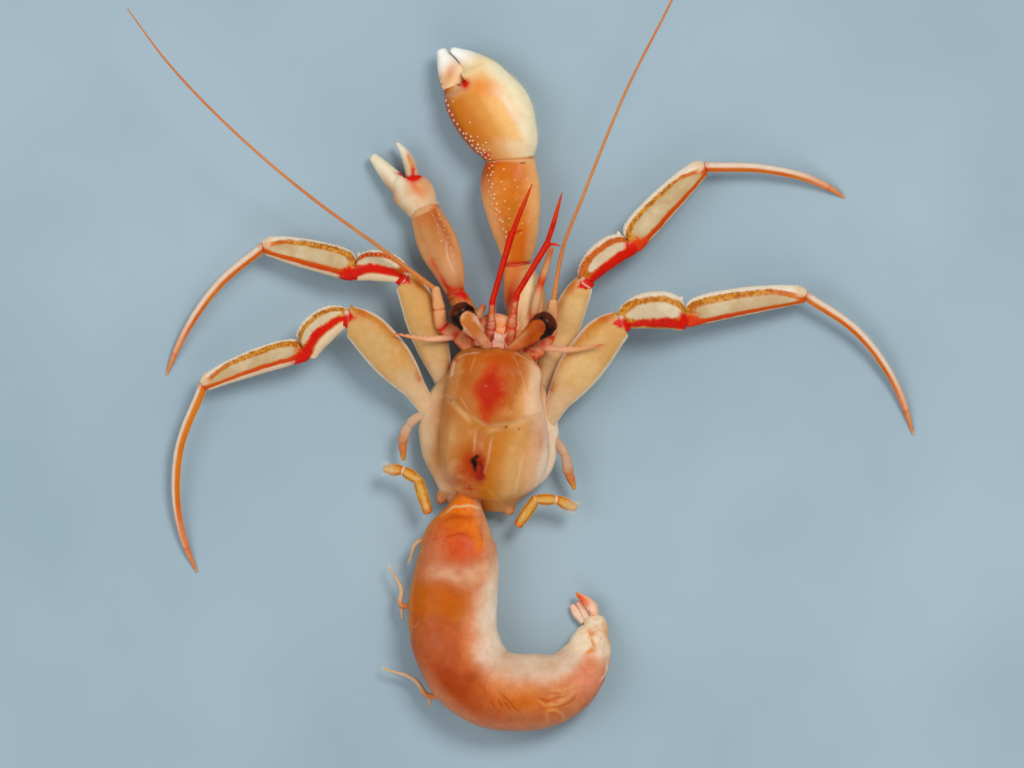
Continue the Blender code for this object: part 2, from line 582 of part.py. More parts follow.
def leg_piece(kind, start, end, width, bow, side, elbow=None):
    """The form of one leg piece, from its outline. bow pushes its middle towards the leg's front."""
    along = (end - start).normalized()
    front = Vector((0, 0, 1)).cross(along).normalized() * side
    rows = []
    for t, fore, aft in LEG_OUTLINES[kind]:
        if elbow is None:
            centre = start.lerp(end, t) + front * bow * 4 * t * (1 - t)
        else:
            middle = Vector((*elbow, (start.z + end.z) / 2 + 0.45))
            centre = start.lerp(middle, t).lerp(middle.lerp(end, t), t)
        thick = width * KNEE_PLAY * (fore + aft) / 2 * (1.25 if kind == "dactyl" else 1.0)
        rows.append((*centre, width * fore, width * aft, thick, thick))
    sides = 8 if kind == "dactyl" else 10
    rings = {"merus": 8, "carpus": 6, "propodus": 7, "dactyl": 10}[kind]
    ends = (0.3 * width, 0.4 * width) if kind != "dactyl" else (0.3 * width, 0.12)
    return Form(rows, sides=sides, rings=rings, hand=side, power=2.1, domes=ends)


def make_leg(pair, side):
    leg = LEGS[pair, side]
    joints = [Vector(p) for p in leg["joints"]]
    ways = [(b - a).normalized() for a, b in zip(joints, joints[1:])]
    elbow = Vector((*leg["dactyl_elbow"], joints[3].z))
    ways[3] = (elbow - joints[3]).normalized()
    for i, kind in enumerate(LEG_PIECES):
        bow = leg["bows"][i] if i < 3 else 0.0
        form = leg_piece(kind, joints[i], joints[i + 1], leg["widths"][i], bow, side,
                         leg["dactyl_elbow"] if kind == "dactyl" else None)
        clips = []
        if i > 0:
            bend = (ways[i - 1] + ways[i]).normalized()
            clips.append((joints[i] + bend * GAP / 2, -bend))
        if i < 3:
            bend = (ways[i] + ways[i + 1]).normalized()
            clips.append((joints[i + 1] - bend * GAP / 2, bend))
        forms = [form]
        if kind == "carpus":
            forms += beads(form, math.radians(12), 0.93, 0.93, 1, 0.22, 0.3)
        roots = ["thorax"] if kind == "merus" else []
        if kind == "merus" and pair == "leg2":
            roots += [f"cheliped_{SIDE_NAMES[side]}_merus", f"antenna_{SIDE_NAMES[side]}_base"]
        if kind == "merus" and pair == "leg3":
            roots.append(f"leg2_{SIDE_NAMES[side]}_merus")
        add_node(f"{pair}_{SIDE_NAMES[side]}_{kind}", "leg_shell", forms, clear_of=roots, clips=clips,
                 on_floor=kind == "dactyl")


# Small rear legs

LEG4 = {
    RIGHT: [(5.3, -2.9, 2.5, 0.55, 0.5), (6.7, -4.3, 2.7, 0.62, 0.55), (7.35, -5.9, 2.2, 0.58, 0.5),
            (7.95, -6.95, 1.7, 0.26, 0.25)],
    LEFT: [(-4.9, -2.6, 2.5, 0.55, 0.5), (-6.3, -3.7, 2.7, 0.62, 0.55), (-6.75, -5.2, 2.2, 0.58, 0.5),
           (-6.5, -6.8, 1.7, 0.26, 0.25)],
}
LEG5 = {
    RIGHT: {"merus": [(3.85, -10.75, 2.5), (4.95, -8.45, 3.1)],
            "hand": [(4.95, -8.45, 3.1), (6.6, -8.2, 2.9), (8.2, -8.6, 2.6)]},
    LEFT: {"merus": [(-3.8, -10.85, 2.5), (-5.02, -8.35, 3.1)],
           "hand": [(-5.02, -8.35, 3.1), (-6.35, -7.8, 2.9), (-7.75, -7.9, 2.6)]},
}
LEG5_WIDTH = 0.50


def make_rear_legs(side):
    name = SIDE_NAMES[side]
    add_node(f"leg4_{name}", "leg_shell",
             [Form(LEG4[side], sides=9, rings=7, hand=side, domes=(0.2, 0.2))],
             clear_of=("thorax", f"leg3_{name}_merus"))
    start, knee = (Vector(p) for p in LEG5[side]["merus"])
    hand = [Vector(p) for p in LEG5[side]["hand"]]
    way_in, way_out = (knee - start).normalized(), (hand[1] - hand[0]).normalized()
    bend = (way_in + way_out).normalized()
    rows = [(*start, 0.8 * LEG5_WIDTH, 0.42), (*between(start, knee, 0.5), LEG5_WIDTH, 0.46),
            (*knee, 0.9 * LEG5_WIDTH, 0.42)]
    add_node(f"leg5_{name}_merus", "leg_shell", [Form(rows, sides=9, rings=5, hand=side, domes=(0.2, 0.3))],
             clear_of=("thorax",), clips=[(knee - bend * GAP / 2, bend)])
    rows = [(*hand[0], 0.42, 0.40), (*between(hand[0], hand[1], 0.6), 0.52, 0.46), (*hand[1], 0.42, 0.40),
            (*between(hand[1], hand[2], 0.6), 0.54, 0.46), (*hand[2], 0.36, 0.32)]
    add_node(f"leg5_{name}_hand", "leg_shell", [Form(rows, sides=9, rings=9, hand=side, domes=(0.3, 0.3))],
             clear_of=("thorax",), clips=[(knee + bend * GAP / 2, -bend)])


# Abdomen

ABDOMEN = [
    (-0.45, -8.0, 3.1, 1.0, 0.95), (-0.62, -9.6, 3.0, 1.2, 1.1), (-0.70, -10.7, 2.8, 1.9, 1.7),
    (-0.80, -12.3, 2.7, 2.85, 2.5), (-0.75, -14.5, 2.75, 3.2, 2.8), (-0.70, -17.8, 2.8, 3.52, 2.95),
    (-0.05, -21.0, 2.8, 3.48, 2.95), (1.40, -23.3, 2.75, 3.40, 2.9), (3.50, -24.65, 2.7, 3.20, 2.8),
    (5.80, -24.75, 2.6, 3.10, 2.7), (8.20, -24.15, 2.5, 2.98, 2.6), (10.15, -22.75, 2.3, 2.62, 2.4),
    (11.15, -20.9, 1.85, 2.05, 1.95), (11.45, -19.0, 1.35, 1.45, 1.4), (11.55, -18.2, 1.15, 1.02, 1.15),
    (11.4, -17.6, 1.0, 0.82, 0.9),
]
ABDOMEN_RINGS = 61
ABDOMEN_CUTS = (5, 16, 28, 41, 51)     # rings where one somite's length ends and the next begins


def make_abdomen():
    whole = smooth_rows([(*row[:3], row[3], row[3], row[4], row[4]) for row in ABDOMEN], ABDOMEN_RINGS)
    ends = (0, *ABDOMEN_CUTS, ABDOMEN_RINGS - 1)
    for number, (first, last) in enumerate(zip(ends, ends[1:]), start=1):
        rows = whole[max(first - 2, 0):last + 3]
        clips = []
        for i, way, inner in ((first, -1, number > 1), (last, 1, number < len(ends) - 1)):
            if inner:
                along = Vector(whole[i + 1, :3] - whole[i - 1, :3])
                along.z = 0.0
                along = along.normalized() * way
                clips.append((Vector(whole[i, :3]) - along * GAP / 2, along))
        form = Form([tuple(row) for row in rows], sides=16, rings=6 if number in (1, 6) else 8,
                    hand=LEFT, power=2.15, domes=(0.3, 0.3))
        add_node(f"abdomen_{number}", "soft_skin", [form],
                 clear_of=("thorax", "shield") if number < 3 else (), clips=clips, on_floor=number > 1)


TAIL = {
    "uropod_left": [(11.35, -17.3, 1.15, 0.36, 0.34), (10.98, -16.57, 1.25, 0.45, 0.34),
                    (10.31, -16.08, 1.25, 0.36, 0.30), (9.62, -15.73, 1.2, 0.16, 0.2)],
    "telson": [(10.85, -17.75, 0.7, 0.38, 0.34), (10.37, -17.0, 0.7, 0.40, 0.30), (9.85, -16.41, 0.7, 0.26, 0.25)],
    "uropod_right": [(10.45, -17.9, 0.55, 0.32, 0.30), (9.82, -17.26, 0.5, 0.42, 0.28),
                     (9.37, -16.8, 0.5, 0.25, 0.24)],
}
PLEOPODS = {
    "pleopod_2": [(-3.2, -12.9, 2.5), (-4.35, -13.7, 2.1), (-4.6, -15.2, 1.7)],
    "pleopod_3": [(-3.9, -18.85, 2.3), (-4.75, -18.9, 2.1), (-4.93, -17.7, 1.9), (-6.18, -16.0, 1.5)],
    "pleopod_4": [(-0.5, -26.0, 2.2), (-1.4, -26.0, 2.0), (-2.57, -24.97, 1.7), (-5.29, -24.4, 1.3)],
}
PLEOPOD_LOBES = {"pleopod_3": (-4.5, -19.95, 1.8), "pleopod_4": (-1.0, -26.75, 1.7)}
PLEOPOD_RADII = (0.28, 0.28, 0.26, 0.13)


def make_tail():
    made = []
    for name, rows in TAIL.items():
        add_node(name, "soft_skin", [Form(rows, sides=8, rings=5, domes=(0.2, 0.15))],
                 clear_of=("abdomen_6", *made))
        made.append(name)
    hosts = {"pleopod_2": ("abdomen_2",), "pleopod_3": ("abdomen_3",), "pleopod_4": ("abdomen_3", "abdomen_4")}
    for name, points in PLEOPODS.items():
        radii = PLEOPOD_RADII if len(points) == 4 else (0.30, 0.27, 0.16)
        rows = [(*p, r, r) for p, r in zip(points, radii)]
        forms = [Form(rows, sides=7, rings=8, domes=(0.2, 0.12))]
        if name in PLEOPOD_LOBES:
            root, lobe = Vector(points[1]), Vector(PLEOPOD_LOBES[name])
            forms.append(Form([(*root, 0.24, 0.24), (*lobe, 0.14, 0.14)], sides=6, rings=3, domes=(0.1, 0.1)))
        add_node(name, "feeler", forms, clear_of=hosts[name])


def clear_scene():
    for obj in list(bpy.data.objects):
        bpy.data.objects.remove(obj)


def main():
    clear_scene()
    make_body()
    for side in (LEFT, RIGHT):
        make_eye(side)
    make_ocular_acicles()
    for side in (LEFT, RIGHT):
        make_antennule(side)
        make_antenna(side)
        make_maxilliped(side)
        make_cheliped(side)
        make_leg("leg2", side)
        make_leg("leg3", side)
        make_rear_legs(side)
    make_abdomen()
    make_tail()


main()
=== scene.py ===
"""The looks of a life-size hermit crab, out of its shell and lying on its belly, seen from above.

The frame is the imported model's: +Y is towards the head, +X is the animal's right and +Z is up.
Forms are written in millimetres, and piece() turns them into metres. A form is a closed loft
through rows of (x, y, z, half width, half height) or (x, y, z, front, back, up, down). Each point
of a skin knows its place: u along the form, f from its back (-1) to its front (1), t from its
underside (-1) to its top (1).

Marks are soft spots and lines of colour, placed in the photo's pixels: a spot is (x, y, size, other
size, turn, weight) and a line is ([point, ...], width, whether its ends fade). Sizes and widths are
in mm. A layer is (colour, strength, mark, ...). Colours are sRGB values from 0 to 255.
"""

import math

import bmesh
import bpy
import numpy as np
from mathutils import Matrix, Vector


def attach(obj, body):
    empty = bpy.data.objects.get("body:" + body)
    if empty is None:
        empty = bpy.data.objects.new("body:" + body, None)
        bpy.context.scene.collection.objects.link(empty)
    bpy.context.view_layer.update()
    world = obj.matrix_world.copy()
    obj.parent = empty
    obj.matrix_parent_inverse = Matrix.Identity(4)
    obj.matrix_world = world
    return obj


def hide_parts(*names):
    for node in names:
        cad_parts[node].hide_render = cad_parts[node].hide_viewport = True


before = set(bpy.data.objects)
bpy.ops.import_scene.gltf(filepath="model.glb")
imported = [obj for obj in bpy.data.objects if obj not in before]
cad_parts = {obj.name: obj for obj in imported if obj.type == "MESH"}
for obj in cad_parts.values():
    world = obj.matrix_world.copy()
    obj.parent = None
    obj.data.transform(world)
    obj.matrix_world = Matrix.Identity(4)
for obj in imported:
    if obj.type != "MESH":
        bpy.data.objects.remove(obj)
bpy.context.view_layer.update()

MM = 0.001
RIGHT, LEFT = 1, -1
SIDES = {RIGHT: "right", LEFT: "left"}
TAU = 2 * math.pi
SEED = 11


WHITE = (252, 244, 226)
CREAM = (244, 212, 154)
PALE = (222, 174, 122)
BLUSH = (212, 110, 60)
YELLOW = (228, 172, 58)
AMBER = (204, 122, 28)
BROWN = (160, 74, 4)
ORANGE = (216, 92, 2)
CORAL = (212, 72, 20)
RED = (214, 22, 0)
DEEP_RED = (124, 4, 0)
BLACK = (18, 4, 2)

# Photograph to frame: 12 pixels a millimetre, turned by 9 degrees about pixel (493, 390)
PX_PER_MM, TILT = 12.0, math.radians(9.0)
ORIGIN_PX = (493.0, 390.0)


def plan(x, y):
    """The frame's x and y in mm at a pixel of the photograph."""
    dx, dy = (x - ORIGIN_PX[0]) / PX_PER_MM, (y - ORIGIN_PX[1]) / PX_PER_MM
    return dx * math.cos(TILT) + dy * math.sin(TILT), dx * math.sin(TILT) - dy * math.cos(TILT)


# Fields over points

TABLE = np.random.default_rng(SEED).random(4096)


def noise(points, size, seed=0, octaves=3):
    """Smooth noise from -1 to 1, with features of about size mm."""
    total, weight = np.zeros(len(points)), 0.0
    for k in range(octaves):
        q = points / (size / 2**k) + 7.31 * seed + 3.7 * k
        cell = np.floor(q).astype(np.int64)
        part = q - cell
        part = part * part * (3 - 2 * part)
        out = np.zeros(len(points))
        for corner in range(8):
            dx, dy, dz = corner & 1, (corner >> 1) & 1, corner >> 2
            mixed = ((cell[:, 0] + dx) * 73856093 ^ (cell[:, 1] + dy) * 19349663
                     ^ (cell[:, 2] + dz) * 83492791)
            share = ((part[:, 0] if dx else 1 - part[:, 0]) * (part[:, 1] if dy else 1 - part[:, 1])
                     * (part[:, 2] if dz else 1 - part[:, 2]))
            out += share * TABLE[(mixed ^ (mixed >> 13)) & 4095]
        total += out * 0.5**k
        weight += 0.5**k
    return total / weight * 2 - 1


def ramp(x, low, high):
    s = np.clip((x - low) / (high - low), 0.0, 1.0)
    return s * s * (3 - 2 * s)


def cloud(points, size, seed, low, high):
    """Soft clouds of noise, 0 below the low value and 1 above the high one."""
    return ramp(noise(points, size, seed), low, high)


def warped(points, size, seeds, reach):
    """The points moved about by noise, so that what is painted at them has wavering edges."""
    return points + np.stack([noise(points, size, seed) for seed in seeds], axis=1) * reach


def near(x, centre, width):
    return np.exp(-((x - centre) / width) ** 2)


def linear(colour):
    """A colour of three sRGB values as the linear one that a shader takes. An array stays as it is."""
    if not isinstance(colour, tuple):
        return colour
    c = np.array(colour, float) / 255
    return np.where(c <= 0.04045, c / 12.92, ((c + 0.055) / 1.055) ** 2.4)


def paint(base, *coats):
    """The base colour with each (colour, mask) laid over it in turn."""
    tint = linear(base)
    for colour, mask in coats:
        tint = np.broadcast_to(tint, (len(mask), 3))
        tint = tint + (linear(colour) - tint) * np.clip(mask, 0.0, 1.0)[:, None]
    return tint


def blot(points, x, y, size, other=None, turn=0.0, weight=1.0):
    """A soft round or oval patch in plan, round a pixel of the photograph. Its size is in mm."""
    cx, cy = plan(x, y)
    dx, dy = points[:, 0] - cx, points[:, 1] - cy
    c, s = math.cos(math.radians(turn)), math.sin(math.radians(turn))
    return weight * np.exp(-((dx * c + dy * s) / size) ** 2 - ((dy * c - dx * s) / (other or size)) ** 2)


def stroke(points, ends, width, fade=True):
    """A soft, slightly wavering line in plan through pixels of the photo, fainter towards its ends."""
    waver = np.stack([noise(points, 0.7, seed, 1) for seed in (101, 102)], axis=1)
    place = points[:, :2] + 0.08 * waver
    marks = [np.array(plan(*end)) for end in ends]
    found, share, run = np.full(len(points), 1e9), np.zeros(len(points)), 0.0
    for a, b in zip(marks, marks[1:]):
        way = b - a
        length = np.linalg.norm(way)
        s = np.clip((place - a) @ way / length**2, 0.0, 1.0)
        d = np.linalg.norm(place - a - s[:, None] * way, axis=1)
        share = np.where(d < found, run + s * length, share)
        found, run = np.minimum(found, d), run + length
    thin = ramp(share / run, 0.0, 0.25) * ramp(share / run, 1.0, 0.75) if fade else 1.0
    return np.exp(-(found / width) ** 2) * (0.25 + 0.75 * thin)


def marks(points, *places):
    """The sum of the spots and lines at their places in the photo."""
    return sum(stroke(points, *mark) if isinstance(mark[0], list) else blot(points, *mark) for mark in places)


def layers(points, table, share=1.0):
    """The coats of a list of layers, with a share for every point."""
    return [(colour, marks(points, *places) * share * strength) for colour, strength, *places in table]


# Skins

def unit(v):
    return v / np.maximum(np.linalg.norm(v, axis=-1, keepdims=True), 1e-12)


def smooth_rows(rows, count):
    """count rows read from a smooth curve through the given rows, evenly spaced along it."""
    rows = np.array([r if len(r) == 7 else (*r[:3], r[3], r[3], r[4], r[4]) for r in rows], float)
    steps = np.linalg.norm(np.diff(rows[:, :3], axis=0), axis=1)
    knots = np.concatenate([[0.0], np.cumsum(steps)])
    if len(rows) > 2:
        slopes = np.gradient(rows, knots, axis=0)
    else:
        slopes = np.repeat(np.diff(rows, axis=0), 2, 0) / steps[0]
    place = np.linspace(0.0, knots[-1], count)
    i = np.clip(np.searchsorted(knots, place, side="right") - 1, 0, len(rows) - 2)
    width = steps[i][:, None]
    s = (place - knots[i])[:, None] / width
    return ((2 * s**3 - 3 * s**2 + 1) * rows[i] + (s**3 - 2 * s**2 + s) * width * slopes[i]
            + (3 * s**2 - 2 * s**3) * rows[i + 1] + (s**3 - s**2) * width * slopes[i + 1])


def directions(rows, hand):
    """(along, across, up) of every row."""
    middle = rows[:, :3]
    steps = (middle[1:2] - middle[:1], middle[2:] - middle[:-2], middle[-1:] - middle[-2:-1])
    along = unit(np.concatenate(steps))
    across = unit(np.cross((0.0, 0.0, 1.0), along)) * hand
    up = unit(np.cross(along, across))
    up[up[:, 2] < 0] *= -1
    return along, across, up


def arc_lengths(rows):
    """How far along the middle line each row lies."""
    return np.concatenate([[0.0], np.cumsum(np.linalg.norm(np.diff(rows[:, :3], axis=0), axis=1))])


def stops(start, end, *sections):
    """Rows between two points. A section is (share of the way, half width) or also a half height."""
    rows = []
    for share, wide, *tall in sections:
        rows.append((*(start + (end - start) * share), wide, *(tall or [wide])))
    return rows


def bend_to(value, power):
    """Turns a sine or cosine into that of a fuller, squarer round."""
    return np.sign(value) * np.abs(value) ** (2.0 / power)


class Skin:
    """A closed mesh whose points know their places on its form."""

    def __init__(self, points, faces, u, f, t):
        self.points, self.faces, self.u, self.f, self.t = points, faces, u, f, t

    def normals(self):
        out = np.zeros_like(self.points)
        for face in self.faces:
            corners = self.points[face]
            n = np.cross(corners[:, 1] - corners[:, 0], corners[:, 2] - corners[:, 0])
            if face.shape[1] == 4:
                n = np.cross(corners[:, 2] - corners[:, 0], corners[:, 3] - corners[:, 1])
            for k in range(face.shape[1]):
                for axis in range(3):
                    out[:, axis] += np.bincount(face[:, k], n[:, axis], len(out))
        return unit(out)

    def turn_out(self):
        """Points the faces out, by the volume that they enclose."""
        volume = 0.0
        for face in self.faces:
            c = self.points[face] - self.points.mean(0)
            volume += np.einsum("ij,ij->i", c[:, 0], np.cross(c[:, 1], c[:, 2])).sum()
            if face.shape[1] == 4:
                volume += np.einsum("ij,ij->i", c[:, 0], np.cross(c[:, 2], c[:, 3])).sum()
        if volume < 0:
            self.faces = [face[:, ::-1] for face in self.faces]
        return self

    def push(self, amount):
        self.points = self.points + self.normals() * np.asarray(amount)[:, None]
        return self

    def bead(self, centres, radius, height):
        """Raises a small rounded grain at each centre, and gives the share of each point that is grain."""
        mask = np.zeros(len(self.points))
        for centre in centres:
            d = np.linalg.norm(self.points - centre, axis=1)
            mask = np.maximum(mask, np.clip(1.25 * np.exp(-(d / radius) ** 2) - 0.05, 0.0, 1.0))
        self.push(height * mask)
        return mask

    def settle(self):
        """Keeps the skin above the floor."""
        self.points[:, 2] = np.maximum(self.points[:, 2], 0.0)

    def press(self, point, way, margin=0.2):
        """Rounds the skin off against a plane that it may not pass."""
        way = unit(np.array(way, float))
        d = (self.points - np.array(point, float)) @ way
        past = d > -margin
        new = -margin * np.exp(-np.clip(d + margin, 0.0, 20.0) / margin)
        self.points = self.points + np.where(past, new - d, 0.0)[:, None] * way
        return self


def loft(rows, rings, sides, hand=RIGHT, power=2.0, domes=(0.4, 0.4), dome_rings=6, grow=0.0):
    """A closed skin through rows, with a dome on each end."""
    rows = smooth_rows(rows, rings)
    along, across, up = directions(rows, hand)
    arc = arc_lengths(rows)
    turns = np.pi / 2 * (np.arange(dome_rings) + 1) / (dome_rings + 1)
    ring = np.concatenate([np.zeros(dome_rings, int), np.arange(rings), np.full(dome_rings, rings - 1)])
    scale = np.concatenate([np.cos(turns)[::-1], np.ones(rings), np.cos(turns)])
    shift = np.concatenate([-(domes[0] + grow) * np.sin(turns)[::-1], np.zeros(rings),
                            (domes[1] + grow) * np.sin(turns)])
    angle = np.arange(sides) / sides * TAU
    c, s = bend_to(np.cos(angle), power)[None, :], bend_to(np.sin(angle), power)[None, :]
    row = rows[ring]
    wide = (np.where(c > 0, row[:, 3:4], row[:, 4:5]) + grow) * c * scale[:, None]
    tall = (np.where(s > 0, row[:, 5:6], row[:, 6:7]) + grow) * s * scale[:, None]
    points = (row[:, None, :3] + across[ring][:, None] * wide[..., None]
              + up[ring][:, None] * tall[..., None] + (along[ring] * shift[:, None])[:, None])
    n, m = len(ring), sides
    ends = np.stack([rows[0, :3] - along[0] * (domes[0] + grow),
                     rows[-1, :3] + along[-1] * (domes[1] + grow)])
    points = np.concatenate([points.reshape(-1, 3), ends])
    k, nxt = np.arange(m), (np.arange(m) + 1) % m
    base = (np.arange(n - 1) * m)[:, None]
    quads = np.stack([base + k, base + nxt, base + m + nxt, base + m + k], axis=-1).reshape(-1, 4)
    first = np.stack([nxt, k, np.full(m, n * m)], axis=-1)
    last = np.stack([k + (n - 1) * m, nxt + (n - 1) * m, np.full(m, n * m + 1)], axis=-1)
    u = np.repeat((arc[ring] + shift) / arc[-1], m)
    f, t = (c * scale[:, None]).ravel(), (s * scale[:, None]).ravel()
    extra = np.array([-domes[0] / arc[-1], 1 + domes[1] / arc[-1]])
    return Skin(points, [quads, np.concatenate([first, last])], np.concatenate([u, extra]),
                np.concatenate([f, (0, 0)]), np.concatenate([t, (0, 0)])).turn_out()


def ball(centre, radii, bands=24):
    x, y, z = centre
    rows = [(x, y + radii[1] * step, z, radii[0], radii[2]) for step in (-0.02, 0.02)]
    return loft(rows, 2, 2 * bands, domes=(radii[1], radii[1]), dome_rings=bands // 2)


def joined(skins):
    """Several skins as one."""
    points, quads, tris, at = [], [], [], 0
    for skin in skins:
        points.append(skin.points)
        for face in skin.faces:
            (quads if face.shape[1] == 4 else tris).append(face + at)
        at += len(skin.points)
    faces = [np.concatenate(group) for group in (quads, tris) if group]
    u, f, t = (np.concatenate([getattr(skin, key) for skin in skins]) for key in "uft")
    return Skin(np.concatenate(points), faces, u, f, t)


def placed(name, data):
    """A new object in the scene."""
    obj = bpy.data.objects.new(name, data)
    bpy.context.scene.collection.objects.link(obj)
    return obj


def raw_mesh(name, skin, scale=1.0):
    mesh = bpy.data.meshes.new(name)
    faces = [tuple(row) for face in skin.faces for row in face.tolist()]
    mesh.from_pydata((skin.points * scale).tolist(), [], faces)
    return mesh


def remeshed(skins, voxel, smooth=5, cutters=()):
    """One skin round overlapping ones, in mm. A cutter is a level prism over an outline."""
    obj = placed("work", raw_mesh("work", joined(skins)))
    helpers = []

    def add(kind, **values):
        modifier = obj.modifiers.new(kind, kind)
        for key, value in values.items():
            setattr(modifier, key, value)

    add("REMESH", mode="VOXEL", voxel_size=voxel)
    for outline, low, high in cutters:
        bm = bmesh.new()
        loops = [[bm.verts.new((x, y, z)) for x, y in outline] for z in (low, high)]
        for loop in loops:
            bm.faces.new(loop)
        for k in range(len(outline)):
            after = (k + 1) % len(outline)
            bm.faces.new((loops[0][k], loops[0][after], loops[1][after], loops[1][k]))
        bmesh.ops.recalc_face_normals(bm, faces=bm.faces)
        mesh = bpy.data.meshes.new("cutter")
        bm.to_mesh(mesh)
        bm.free()
        cutter = placed("cutter", mesh)
        helpers.append(cutter)
        add("BOOLEAN", operation="DIFFERENCE", solver="EXACT", object=cutter)
    if cutters:
        add("REMESH", mode="VOXEL", voxel_size=voxel)
    add("SMOOTH", factor=0.5, iterations=smooth)
    graph = bpy.context.evaluated_depsgraph_get()
    mesh = bpy.data.meshes.new_from_object(obj.evaluated_get(graph))
    points = np.empty(len(mesh.vertices) * 3, np.float32)
    mesh.vertices.foreach_get("co", points)
    faces = np.array([tuple(p.vertices) for p in mesh.polygons if len(p.vertices) == 4])
    tris = [tuple(p.vertices) for p in mesh.polygons if len(p.vertices) == 3]
    for other in (*helpers, obj):
        bpy.data.objects.remove(other)
    points = points.reshape(-1, 3).astype(float)
    zero = np.zeros(len(points))
    groups = [faces] + ([np.array(tris)] if tris else [])
    return Skin(points, groups, zero, zero, zero)


def locate(skin, rows, hand, rings=160):
    """Gives each point of a skin its place on a form."""
    rows = smooth_rows(rows, rings)
    along, across, up = directions(rows, hand)
    arc = arc_lengths(rows)
    best = np.zeros(len(skin.points), int)
    found = np.full(len(skin.points), 1e9)
    for i in range(rings):
        d = ((skin.points - rows[i, :3]) ** 2).sum(1)
        closer = d < found
        found[closer], best[closer] = d[closer], i
    d = skin.points - rows[best, :3]
    f, t = (d * across[best]).sum(1), (d * up[best]).sum(1)
    skin.u = (arc[best] + (d * along[best]).sum(1)) / arc[-1]
    skin.f = f / np.where(f > 0, rows[best, 3], rows[best, 4])
    skin.t = t / np.where(t > 0, rows[best, 5], rows[best, 6])
    return skin


# Materials

def set_inputs(tree, node, inputs):
    """Gives a node's sockets their values, or links them to the outputs of other nodes."""
    for name, value in inputs.items():
        if isinstance(value, bpy.types.NodeSocket):
            tree.links.new(value, node.inputs[name])
        else:
            node.inputs[name].default_value = value


def add_node(tree, kind, inputs, output, **fields):
    """Adds a shader node and gives its output."""
    node = tree.nodes.new("ShaderNode" + kind)
    for name, value in fields.items():
        setattr(node, name, value)
    set_inputs(tree, node, inputs)
    return node.outputs[output]


def two_tone(tree, value, low, high):
    """A colour between two, by a grey value."""
    colour = add_node(tree, "ValToRGB", {"Fac": value}, "Color")
    for stop, place, tone in zip(colour.node.color_ramp.elements, (0.3, 0.7), (low, high)):
        stop.position, stop.color = place, (*tone, 1)
    return colour


def surface(name, roughness=0.4, spread=0.08, mottle=0.18, grain=0.9, bump=0.25, depth=0.02,
            subsurface=0.16, reach=0.5, coat=0.03, pits=0.0, gloss=0.12):
    """A wet shell or skin: the painted tint, mottled, over a grainy bump. Lengths are in mm."""
    made = bpy.data.materials.new(name)
    made.use_nodes = True
    tree = made.node_tree
    place = add_node(tree, "TexCoord", {}, "Object")
    tint = add_node(tree, "Attribute", {}, "Color", attribute_name="tint")
    broad = {"Vector": place, "Scale": 1000 / grain, "Detail": 5.0, "Roughness": 0.6}
    wide = add_node(tree, "TexNoise", broad, "Fac")
    fine = add_node(tree, "TexNoise", {"Vector": place, "Scale": 1000 / (grain * 0.22), "Detail": 4.0}, "Fac")
    shade = two_tone(tree, wide, (1 - mottle, 1 - 1.5 * mottle, 1 - 1.9 * mottle), (1, 1, 1))
    mixed = add_node(tree, "Mix", {"Factor": 1.0, "A": tint, "B": shade}, "Result",
                     data_type="RGBA", blend_type="MULTIPLY")
    gloss_range = {"Value": wide, "To Min": roughness - spread, "To Max": roughness + spread}
    polish = add_node(tree, "MapRange", gloss_range, "Result")
    dents = {"Strength": bump, "Distance": depth * MM}
    normal = add_node(tree, "Bump", {**dents, "Height": fine}, "Normal")
    if pits:
        cells = add_node(tree, "TexVoronoi", {"Vector": place, "Scale": 1000 / pits}, "Distance")
        hollow = add_node(tree, "Bump", {**dents, "Height": cells}, "Normal")
        tree.links.new(hollow, normal.node.inputs["Normal"])
    set_inputs(tree, tree.nodes["Principled BSDF"], {
        "Base Color": mixed, "Roughness": polish, "Normal": normal, "Subsurface Weight": subsurface,
        "Subsurface Radius": (1.0, 0.6, 0.35), "Subsurface Scale": reach * MM, "Specular IOR Level": gloss,
        "Coat Weight": coat, "Coat Roughness": 0.12, "IOR": 1.45,
    })
    return made


LOOKS = {
    "claw": surface("claw_shell", mottle=0.08, grain=0.9, bump=0.3, depth=0.025, pits=0.35, gloss=0.16),
    "leg": surface("leg_shell_look", mottle=0.08, grain=0.5, bump=0.3, depth=0.02, pits=0.22, reach=0.3),
    "carapace": surface("carapace_look", roughness=0.42, mottle=0.1, grain=1.3, bump=0.3, depth=0.03,
                        subsurface=0.2, coat=0.02),
    "skin": surface("soft_skin_look", roughness=0.4, mottle=0.14, grain=0.9, bump=0.4, depth=0.05,
                    subsurface=0.22, reach=0.7, coat=0.03),
    "membrane": surface("membrane_look", mottle=0.08, grain=0.4, bump=0.3, depth=0.02, subsurface=0.2),
    "feeler": surface("feeler_look", mottle=0.08, grain=0.3, bump=0.3, depth=0.01, subsurface=0.1, reach=0.2),
    "cornea": surface("cornea_look", roughness=0.28, spread=0.05, mottle=0.25, grain=0.35, bump=0.2,
                      depth=0.008, subsurface=0.0, coat=0.1, pits=0.07),
    "hair": surface("hair_look", roughness=0.5, mottle=0.1, grain=0.2, bump=0.1, depth=0.004,
                    subsurface=0.05, reach=0.1, coat=0.0),
}


def piece(name, skin, tint, look, slot, *nodes):
    """Makes an object of a skin, and hides the imported nodes that it stands for."""
    mesh = raw_mesh(name, skin, MM)
    layer = mesh.color_attributes.new("tint", "FLOAT_COLOR", "POINT")
    values = np.ones((len(skin.points), 4), np.float32)
    values[:, :3] = np.clip(np.broadcast_to(tint, (len(skin.points), 3)), 0.0, 1.0)
    layer.data.foreach_set("color", values.ravel())
    mesh.materials.append(LOOKS[look])
    mesh.shade_smooth()
    obj = placed(name, mesh)
    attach(obj, "root")
    if nodes:
        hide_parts(*nodes)


